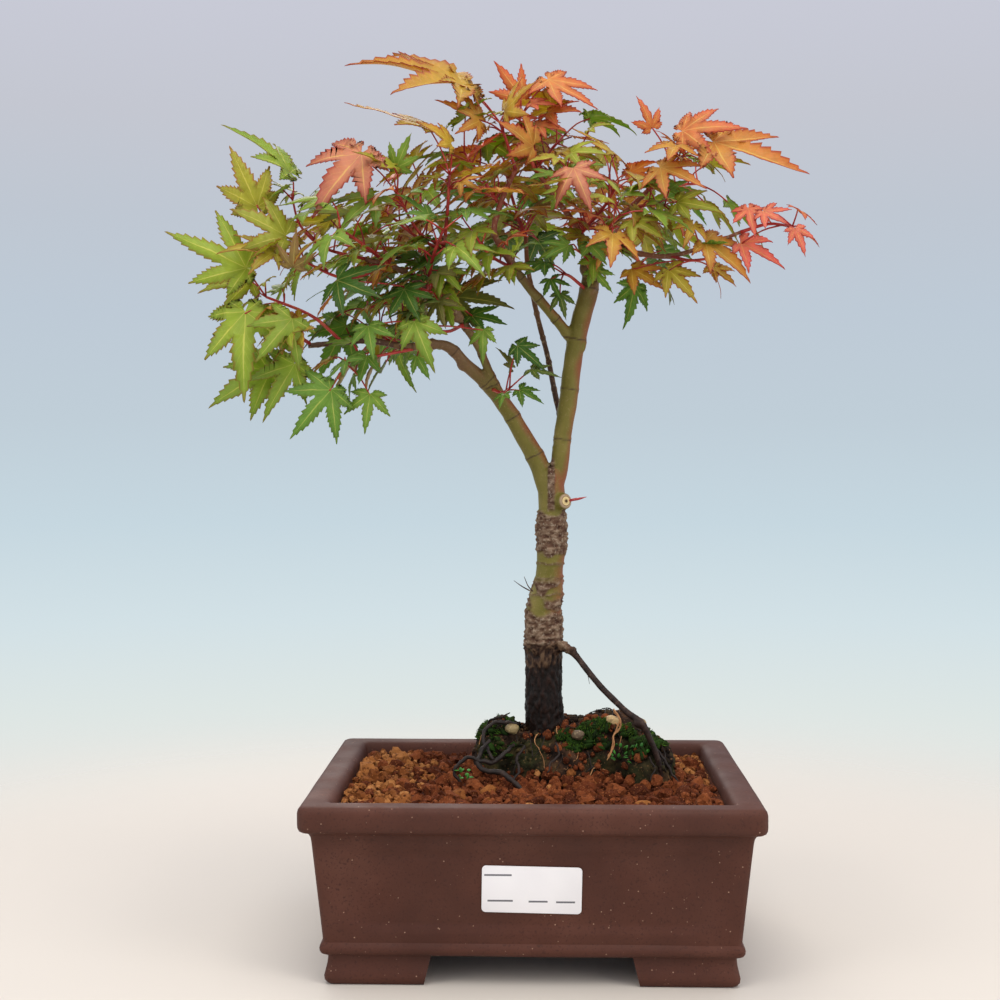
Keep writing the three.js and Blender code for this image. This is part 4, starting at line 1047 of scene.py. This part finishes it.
FILLING = {
    "inner_left": ("lime", 27, [(-45, -8, 358), (-62, -1, 368), (-76, 2, 380)]),
    "inner_centre": ("green", 26, [(-9, 1, 350), (-22, -12, 356), (-30, -20, 366)]),
    "inner_right": ("lime", 26, [(26, 12, 371), (38, 2, 384), (44, -8, 394)]),
    "inner_top": ("gold", 28, [(-18, -5, 384), (-28, 2, 400), (-36, 6, 412)]),
    "centre_front": ("green", 27, [(-54, -12, 339), (-50, -30, 352), (-44, -42, 364)]),
    "right_front": ("lime", 25, [(32, 11, 360), (37, -6, 368), (44, -24, 374)]),
    "back_left": ("lime", 32, [(-78, 48, 364), (-94, 55, 368), (-108, 58, 372)]),
    "back_left_top": ("gold", 30, [(-62, 33, 357), (-62, 40, 378), (-62, 44, 396)]),
    "back_centre": ("green", 30, [(-4, 45, 375), (-8, 56, 382), (-12, 68, 388)]),
    "back_top": ("gold", 30, [(-5, 43, 374), (-12, 38, 396), (-16, 36, 414)]),
    "back_right": ("lime", 30, [(50, 67, 382), (58, 72, 386), (66, 75, 388)]),
    "back_right_top": ("orange", 28, [(42, 52, 375), (42, 48, 394), (42, 46, 408)]),
    "right_back": ("gold", 28, [(60, 2, 392), (76, 14, 396), (88, 22, 398)]),
    "left_back_low": ("green", 28, [(-66, -9, 309), (-76, 8, 314), (-86, 22, 320)]),
    "inner_left_low": ("green", 26, [(-58, -12, 341), (-74, -3, 334), (-88, 4, 330)]),
    "left_inner_front": ("green", 26, [(-72, -20, 349), (-84, -36, 358), (-94, -46, 364)]),
    "back_left_low": ("green", 30, [(-64, 34, 356), (-74, 46, 344), (-82, 56, 338)]),
    "back_right_low": ("green", 22, [(43, 53, 373), (56, 58, 364), (66, 62, 358)]),
    "crown_back": ("gold", 28, [(2, 7, 404), (10, 18, 416), (16, 24, 424)]),
}
WARMER = ("left_mid", "inner_left", "inner_centre", "inner_right", "right_front", "inner_left_low",
          "left_inner_front")
TONES = ["dry", "dark", "green", "lime", "gold", "orange", "coral", "rose"]
TONE_COLOURS = [
    (srgb(176, 158, 96), srgb(166, 126, 82)),
    (srgb(78, 124, 44), srgb(58, 98, 34)),
    (srgb(134, 170, 72), srgb(102, 146, 56)),
    (srgb(174, 188, 66), srgb(134, 162, 54)),
    (srgb(206, 188, 70), srgb(188, 140, 58)),
    (srgb(212, 156, 72), srgb(202, 92, 62)),
    (srgb(236, 158, 124), srgb(228, 104, 106)),
    (srgb(216, 156, 112), srgb(190, 108, 96)),
]
LARGE_LEAF, SMALL_LEAF = 31, 20
LOBES = {
    7: [(-126, 0.22), (-86, 0.48), (-43, 0.78), (0, 1), (43, 0.78), (86, 0.48), (126, 0.22)],
    5: [(-92, 0.4), (-44, 0.74), (0, 1), (44, 0.74), (92, 0.4)],
}
SINUS = 0.31
HALF_WIDTH = 0.122
HEEL = 0.09
BLADE_THICKNESS = 0.24
TWIG_UP = 0.22
FILLING_LEAVES = 15
BETWEEN_LEAVES = 7
SPARSE = {
    "fork_shoot": 1, "right_limb_shoot": 1, "knuckle_shoot": 2, "centre_low": 3, "back_right_low": 4,
    "right_low": 2, "right_outer": 2, "crown_top_left": 3, "crown_left": 4, "right_top": 4, "right_back": 6,
    "back_right": 7, "left_outer": 4, "left_low": 5,
}


def tone_colours(tone):
    """The colours by the veins and at the rim for a tone between the named ones."""
    tone = min(max(tone, 0), len(TONES) - 1.001)
    below, share = int(tone), tone - int(tone)
    return [Vector(low).lerp(Vector(high), share)
            for low, high in zip(TONE_COLOURS[below], TONE_COLOURS[below + 1])]


def leaf_finish():
    finish, tree, surface = new_finish("maple_leaf", 0.42)
    tint = attribute(tree, "tint", "Color")
    warmth = attribute(tree, "warmth")
    blade = add_node(tree, "ShaderNodeUVMap", uv_map="blade").outputs["UV"]
    parts = add_node(tree, "ShaderNodeSeparateXYZ", {"Vector": blade}).outputs
    off = sums(tree, "ABSOLUTE", sums(tree, "SUBTRACT", parts["X"], 0.5))
    mottled = blend(tree, mask(tree, grain(tree, 240, 3), 0.35, 0.7), tint,
                    blend(tree, 0.55, tint, srgb(70, 92, 30), "MULTIPLY"))
    body = blend(tree, 0.3, tint, mottled)
    width = sums(tree, "MULTIPLY", sums(tree, "SUBTRACT", 1.1, parts["Y"]), 0.034)
    midrib = mask(tree, sums(tree, "SUBTRACT", off, width), 0.026, -0.008)
    along = sums(tree, "SUBTRACT", sums(tree, "MULTIPLY", parts["Y"], 7.0), sums(tree, "MULTIPLY", off, 4.5))
    near = sums(tree, "ABSOLUTE", sums(tree, "SUBTRACT", sums(tree, "FRACT", along), 0.5))
    side = sums(tree, "MULTIPLY", mask(tree, near, 0.42, 0.48), mask(tree, off, 0.46, 0.3))
    veins = sums(tree, "MAXIMUM", midrib, sums(tree, "MULTIPLY", side, 0.3))
    pale = blend(tree, 0.6, tint, srgb(234, 222, 128))
    rim = sums(tree, "MAXIMUM", mask(tree, off, 0.36, 0.5), mask(tree, parts["Y"], 0.82, 1.0))
    rim = sums(tree, "MULTIPLY", rim, sums(tree, "MULTIPLY", warmth, mask(tree, parts["Y"], 0.1, 0.22)))
    body = blend(tree, rim, body, srgb(164, 52, 46))
    body = blend(tree, sums(tree, "MULTIPLY", veins, 0.7), body, pale)
    tree.links.new(body, surface.inputs["Base Color"])
    relief(tree, surface, [(veins, 0.0003, 0.5), (grain(tree, 700, 3), 0.0002, 0.35)])
    lit = add_node(tree, "ShaderNodeHueSaturation", {"Color": body, "Saturation": 1.1, "Value": 1.5})
    glow = add_node(tree, "ShaderNodeBsdfTranslucent", {"Color": lit.outputs["Color"]})
    both = add_node(tree, "ShaderNodeMixShader",
                    {0: 0.4, 1: surface.outputs["BSDF"], 2: glow.outputs["BSDF"]})
    tree.links.new(both.outputs["Shader"], tree.nodes["Material Output"].inputs["Surface"])
    return finish


def blade(shape, base, tip, up, tone, rng):
    """A toothed maple blade from its stalk's end to its middle lobe's tip."""
    length = (tip - base).length
    along = (tip - base).normalized()
    upper = (up - along * up.dot(along)).normalized()
    across = along.cross(upper)
    lobes = LOBES[7 if length > LARGE_LEAF * MM or rng.random() < 0.3 else 5]
    rows = 16 if length > LARGE_LEAF * MM else 12 if length > SMALL_LEAF * MM else 9
    tint_of = shape.verts.layers.float_color["tint"]
    warmth_of = shape.verts.layers.float["warmth"]
    blade_of = shape.loops.layers.uv["blade"]
    slim, splay, depth = rng.uniform(0.82, 1.08), rng.uniform(0.78, 1.18), rng.uniform(0.85, 1.15)
    fold, droop, curl = rng.uniform(-0.05, 0.6), rng.uniform(-0.05, 0.5), rng.uniform(0, 0.35)
    twist, offset = rng.uniform(-0.35, 0.35), Vector([rng.uniform(-50, 50) for _ in range(3)])
    by_vein, by_rim = tone_colours(tone)
    warmth = min(max((tone - 1.6) / 2.8, 0.1), 0.85)
    turns = [math.radians(turn + rng.uniform(-6, 6) * (turn != 0)) for turn, _ in lobes]
    reaches = [reach * splay * rng.uniform(0.85, 1.1) if turn else 1 for turn, reach in lobes]
    gaps = [(turns[0] - 0.5, HEEL)]
    for number in range(len(lobes) - 1):
        shorter = min(reaches[number], reaches[number + 1])
        gaps.append(((turns[number] + turns[number + 1]) / 2, SINUS * depth * shorter ** 0.5))
    gaps.append((turns[-1] + 0.5, HEEL))
    points = []
    for number, turn in enumerate(turns):
        reach = reaches[number]
        grid = bmesh.ops.create_grid(shape, x_segments=2, y_segments=rows, size=1)["verts"]
        table = {point: (round(point.co.x), round((point.co.y + 1) / 2 * rows)) for point in grid}
        for face in {face for point in grid for face in point.link_faces}:
            for loop in face.loops:
                column, row = table[loop.vert]
                loop[blade_of].uv = (0.5 + 0.5 * column, row / rows)
        sides = [(sinus * math.cos(angle - turn), sinus * math.sin(angle - turn)) for angle, sinus in
                 (gaps[number], gaps[number + 1])]
        for point, (column, row) in table.items():
            share = max(row - 1, 0) / (rows - 1)
            start = sides[0 if column < 0 else 1][0] if column else (sides[0][0] + sides[1][0]) / 2
            tooth = 0 if row in (1, rows) else (1 if row % 2 else -1)
            ragged = tooth * rng.uniform(0.5, 1.4)
            run = start + (reach - start) * share + (0.02 * ragged if column else 0)
            bulge = (1 - share) ** 1.3 * (1 + 2.6 * share) * (1 + 0.13 * ragged)
            wide = column * HALF_WIDTH * slim * reach ** 0.35 * bulge
            if row == 1 and column:
                wide = sides[0 if column < 0 else 1][1]
            if row == 0:
                run = wide = 0.0
            x = run * math.sin(turn) + wide * math.cos(turn)
            y = run * math.cos(turn) - wide * math.sin(turn)
            z = fold * abs(wide) - droop * (x * x + y * y) * 0.55 - curl * max(share - 0.55, 0) ** 2
            z += twist * x * y * 0.5 + 0.035 * noise.noise(Vector((x, y, 0)) * 3 + offset)
            point.co = base + (across * x + along * y + upper * z) * length
            point[tint_of] = by_vein.lerp(by_rim, min(0.15 + 0.55 * share + 0.3 * abs(column), 1))
            point[warmth_of] = warmth
        points += grid
    bmesh.ops.remove_doubles(shape, verts=points, dist=0.02 * MM)


def point_along(points, share):
    """The place at a share of the way along a row of points."""
    places = [Vector(point) for point in points]
    left = share * sum((after - before).length for before, after in zip(places, places[1:]))
    for before, after in zip(places, places[1:]):
        run = (after - before).length
        if left <= run + 1e-6:
            return before.lerp(after, left / run)
        left -= run
    return places[-1]


def paired_leaf(twig, index, size, shoot):
    """Where a leaf of a crossed pair starts, stands and points: its stalk leans outwards."""
    spread = ((index + 1) * 0.618 + shoot * 0.382) % 1
    pair = index // 2
    start = point_along(twig, max(1 - TWIG_UP * pair, 0.05))
    along = (Vector(twig[-1]) - Vector(twig[0])).normalized()
    level = Vector((along.y, -along.x, 0)).normalized()
    turn = pair * math.pi / 2 + (index % 2) * math.pi + shoot * 0.7
    out = level * math.cos(turn) + level.cross(along) * math.sin(turn)
    stalk = (out + along * 0.5 + Vector((0, 0, 0.25))).normalized()
    base = start + stalk * size * (0.5 + 0.2 * spread)
    lay = out + along * 0.6
    lay.z = lay.z * 0.5 - 0.25 - 0.3 * spread
    tip = base + lay.normalized() * size * (0.85 + 0.3 * spread)
    up = Vector((base.x - 10, base.y - 18, 0)).normalized() * (0.5 + 0.4 * spread) + Vector((0, 0, 1))
    return start, base, tip, up


def placed_leaf(twig, index, values):
    """A leaf by its base, its middle lobe's tip and the tilt of its upper side to the front."""
    face = math.radians(values[6])
    start = point_along(twig, 1 - TWIG_UP * (index // 2))
    return start, Vector(values[:3]), Vector(values[3:6]), Vector((0, -math.sin(face), math.cos(face)))


def shoot_leaves(name):
    """The twig of a shoot, and its leaves as (start, base, tip, up, tone)."""
    rng = random.Random(name)
    leaves = []
    if name in SHOOTS:
        tint, twig, placed = SHOOTS[name]
        tone = TONES.index(tint) + (name in WARMER)
        for index, values in enumerate(placed):
            own = TONES.index(values[7]) if len(values) > 7 else tone + rng.gauss(0, 0.3)
            leaves.append((*placed_leaf(twig, index, values), own))
        seed, size, wanted = len(name) * 1.7, 21, SPARSE.get(name, BETWEEN_LEAVES)
    else:
        tint, size, twig = FILLING[name]
        tone, seed = TONES.index(tint) + (name in WARMER), list(FILLING).index(name)
        wanted = SPARSE.get(name, FILLING_LEAVES)
    for index in range(wanted):
        later = 1 if index < 5 and name in FILLING else rng.uniform(0.6, 0.85)
        spot = paired_leaf(twig, index, size * later, seed)
        leaves.append((*spot, tone - 0.4 * (tone > 3) + rng.gauss(0, 0.8)))
    return twig, leaves, rng


leaf_material = leaf_finish()
stalk_material = grained("leaf_stalk", 0.4, (120, 2), [
    (0.3, srgb(122, 32, 34)), (0.55, srgb(172, 48, 44)), (0.75, srgb(190, 92, 62))], (900, 2, 0.0001, 0.4))
for name in (*SHOOTS, *FILLING):
    twig, leaves, rng = shoot_leaves(name)
    shape = bmesh.new()
    shape.verts.layers.float_color.new("tint")
    shape.verts.layers.float.new("warmth")
    shape.loops.layers.uv.new("blade")
    for start, base, tip, up, tone in leaves:
        blade(shape, at(*base), at(*tip), up, tone, rng)
    piece = link_piece(f"{name}_shoot" if not name.endswith("shoot") else f"{name}_leaves", shape,
                       [leaf_material, stalk_material])
    body = piece.modifiers.new("body", "SOLIDIFY")
    body.thickness = BLADE_THICKNESS * MM
    body.offset = 0
    settle_modifiers(piece)
    shape = bmesh.new()
    shape.from_mesh(piece.data)
    bars = [(smooth_route([(*place, 1 - 0.16 * k) for k, place in enumerate(twig)], 2.5), 6, 1)]
    for start, base, tip, up, tone in leaves:
        inner = base + (tip - base) * 0.03 - up.normalized() * 0.15
        sway = Vector((rng.uniform(-1, 1), rng.uniform(-1, 1), rng.uniform(0.2, 1.8)))
        bend = (start + base) / 2 + sway * 1.1
        bars.append((smooth_route([(*start, 0.5), (*bend, 0.42), (*inner, 0.4)], 3), 5, 1))
    in_batches(shape, bars, stem, 12)
    shape.to_mesh(piece.data)
    shape.free()
    piece.data.shade_smooth()
    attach(piece, "root")
    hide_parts(name)

# ------------------------------------------------------------------ label
# A plain white paper sticker with round corners on the front panel, a little crooked. It
# carries only a few short grey rules.

LABEL_WIDTH, LABEL_HEIGHT, LABEL_CORNER, LABEL_THICKNESS = 47.5, 23, 2, 0.4
LABEL_MIDDLE, LABEL_TURN, LABEL_SINK = 47.5, -1, 0.85
RULES = [(-16, 7, 13), (-15, -5.6, 12), (3, -5.6, 9), (16, -5.6, 9)]
CORNER_STEPS = 6


def label_paper():
    finish, tree, surface = new_finish("label_paper", 0.38)
    tone = steps(tree, grain(tree, 30, 2), [(0.3, srgb(236, 234, 236)), (0.7, srgb(246, 244, 245))])
    parts = add_node(tree, "ShaderNodeSeparateXYZ", {"Vector": place_of(tree)}).outputs
    ink = 0.0
    for x, z, width in RULES:
        middle = at(x, 0, LABEL_MIDDLE + z - x * math.tan(math.radians(LABEL_TURN)) * -1)
        across = sums(tree, "ABSOLUTE", sums(tree, "SUBTRACT", parts["X"], middle.x))
        up = sums(tree, "ABSOLUTE", sums(tree, "SUBTRACT", parts["Z"], middle.z))
        rule = sums(tree, "MULTIPLY", sums(tree, "LESS_THAN", across, width / 2 * MM),
                    sums(tree, "LESS_THAN", up, 0.45 * MM))
        ink = sums(tree, "MAXIMUM", rule, ink)
    tone = blend(tree, ink, tone, srgb(110, 110, 114))
    tree.links.new(tone, surface.inputs["Base Color"])
    relief(tree, surface, [(grain(tree, 900, 3), 0.00006, 0.4)])
    return finish


label = bmesh.new()
lean = math.atan((WALL_BOTTOM[1] - WALL_TOP[1]) / (WALL_TOP[0] - WALL_BOTTOM[0]))
middle_inset = WALL_BOTTOM[1] + (LABEL_MIDDLE - WALL_BOTTOM[0]) * (WALL_TOP[1] - WALL_BOTTOM[1]) / (
    WALL_TOP[0] - WALL_BOTTOM[0])
ring = bmesh.ops.create_circle(label, segments=4 * (CORNER_STEPS + 1), radius=1)["verts"]
for number, point in enumerate(ring):
    corner, step = divmod(number, CORNER_STEPS + 1)
    angle = (corner + step / CORNER_STEPS) * math.pi / 2
    side_x, side_y = [(1, 1), (-1, 1), (-1, -1), (1, -1)][corner]
    point.co = Vector((side_x * (LABEL_WIDTH / 2 - LABEL_CORNER) + LABEL_CORNER * math.cos(angle),
                       side_y * (LABEL_HEIGHT / 2 - LABEL_CORNER) + LABEL_CORNER * math.sin(angle), 0))
front = next_ring(label, ring)
bmesh.ops.translate(label, verts=front, vec=(0, 0, LABEL_THICKNESS))
close_ring(label, ring)
close_ring(label, front)
bmesh.ops.recalc_face_normals(label, faces=label.faces)
rim = [edge for edge in label.edges
       if len({point in front for point in edge.verts}) == 1 and edge.verts[0] in front]
bmesh.ops.bevel(label, geom=rim, offset=0.15, offset_type="OFFSET", segments=2, profile=0.5, affect="EDGES",
                material=-1)
stand = Matrix.Translation(at(0, -(POT_DEPTH / 2 - middle_inset), LABEL_MIDDLE))
stand = stand @ Matrix.Rotation(math.pi / 2 + lean, 4, "X")
stand = stand @ Matrix.Translation((0, 0, -LABEL_SINK * MM))
stand = stand @ Matrix.Rotation(math.radians(LABEL_TURN), 4, "Z")
bmesh.ops.transform(label, matrix=stand @ Matrix.Scale(MM, 4), verts=label.verts)
label_piece = link_piece("paper_label", label, [label_paper()])
label_piece.data.set_sharp_from_angle(angle=math.radians(40))
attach(label_piece, "root")
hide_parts("label")

# ------------------------------------------------------------------ floor and light
# A pale round floor that fades into the studio's backdrop, warm cream below and cool grey
# blue above, with large soft lamps over the front, at both sides and behind.

FLOOR_SOLID, FLOOR_REACH = 0.2, 0.72

world = bpy.data.worlds.new("studio")
bpy.context.scene.world = world
world.use_nodes = True
tree = world.node_tree
direction = add_node(tree, "ShaderNodeTexCoord").outputs["Generated"]
rise = add_node(tree, "ShaderNodeSeparateXYZ", {"Vector": direction}).outputs["Z"]
rise = mask(tree, rise, -0.4, 0.4)
backdrop = steps(tree, rise, [
    (0.08, srgb(240, 229, 217)), (0.16, srgb(239, 232, 222)), (0.225, srgb(233, 232, 227)),
    (0.29, srgb(222, 230, 228)), (0.36, srgb(211, 225, 230)), (0.444, srgb(198, 215, 224)),
    (0.53, srgb(192, 206, 216)), (0.62, srgb(190, 202, 214)), (0.7, srgb(191, 199, 210)),
    (0.78, srgb(196, 199, 209)), (0.86, srgb(200, 202, 214)), (1.0, srgb(202, 203, 214)),
])
tree.links.new(backdrop, tree.nodes["Background"].inputs["Color"])
tree.nodes["Background"].inputs["Strength"].default_value = 1.0

floor_shape = bmesh.new()
bmesh.ops.create_circle(floor_shape, cap_ends=True, segments=96, radius=FLOOR_REACH)
floor_finish, tree, surface = new_finish("floor", 0.7)
surface.inputs["Base Color"].default_value = srgb(209, 204, 196)
place = place_of(tree)
distance = add_node(tree, "ShaderNodeVectorMath", {0: place}, operation="LENGTH").outputs["Value"]
fade = add_node(tree, "ShaderNodeMapRange",
                {"Value": distance, "From Min": FLOOR_SOLID, "From Max": FLOOR_REACH},
                interpolation_type="SMOOTHERSTEP").outputs["Result"]
clear = add_node(tree, "ShaderNodeBsdfTransparent").outputs["BSDF"]
faded = add_node(tree, "ShaderNodeMixShader", {0: fade, 1: surface.outputs["BSDF"], 2: clear})
tree.links.new(faded.outputs["Shader"], tree.nodes["Material Output"].inputs["Surface"])
floor = link_piece("floor", floor_shape, [floor_finish])


def soft_lamp(name, place, aim, size, watts, colour=(1, 1, 1)):
    """A large square lamp that looks at a place."""
    lamp = bpy.data.objects.new(name, bpy.data.lights.new(name, "AREA"))
    lamp.data.size = size
    lamp.data.energy = watts
    lamp.data.color = colour
    lamp.location = place
    lamp.rotation_euler = (Vector(aim) - Vector(place)).to_track_quat("-Z", "Y").to_euler()
    bpy.context.scene.collection.objects.link(lamp)


WARM = (1, 0.93, 0.84)
soft_lamp("lamp_over", (0.1, -0.4, 1.5), (0, 0, 0.2), 1.2, 15, WARM)
soft_lamp("lamp_left", (-1.2, -0.9, 0.9), (0, 0, 0.25), 0.8, 6.5, WARM)
soft_lamp("lamp_right", (1.3, -0.9, 0.8), (0, 0, 0.25), 0.8, 9, WARM)
soft_lamp("lamp_behind", (-0.3, 1.2, 1.0), (0, 0, 0.35), 0.8, 7, WARM)
scene = bpy.context.scene
scene.view_settings.view_transform = "Standard"
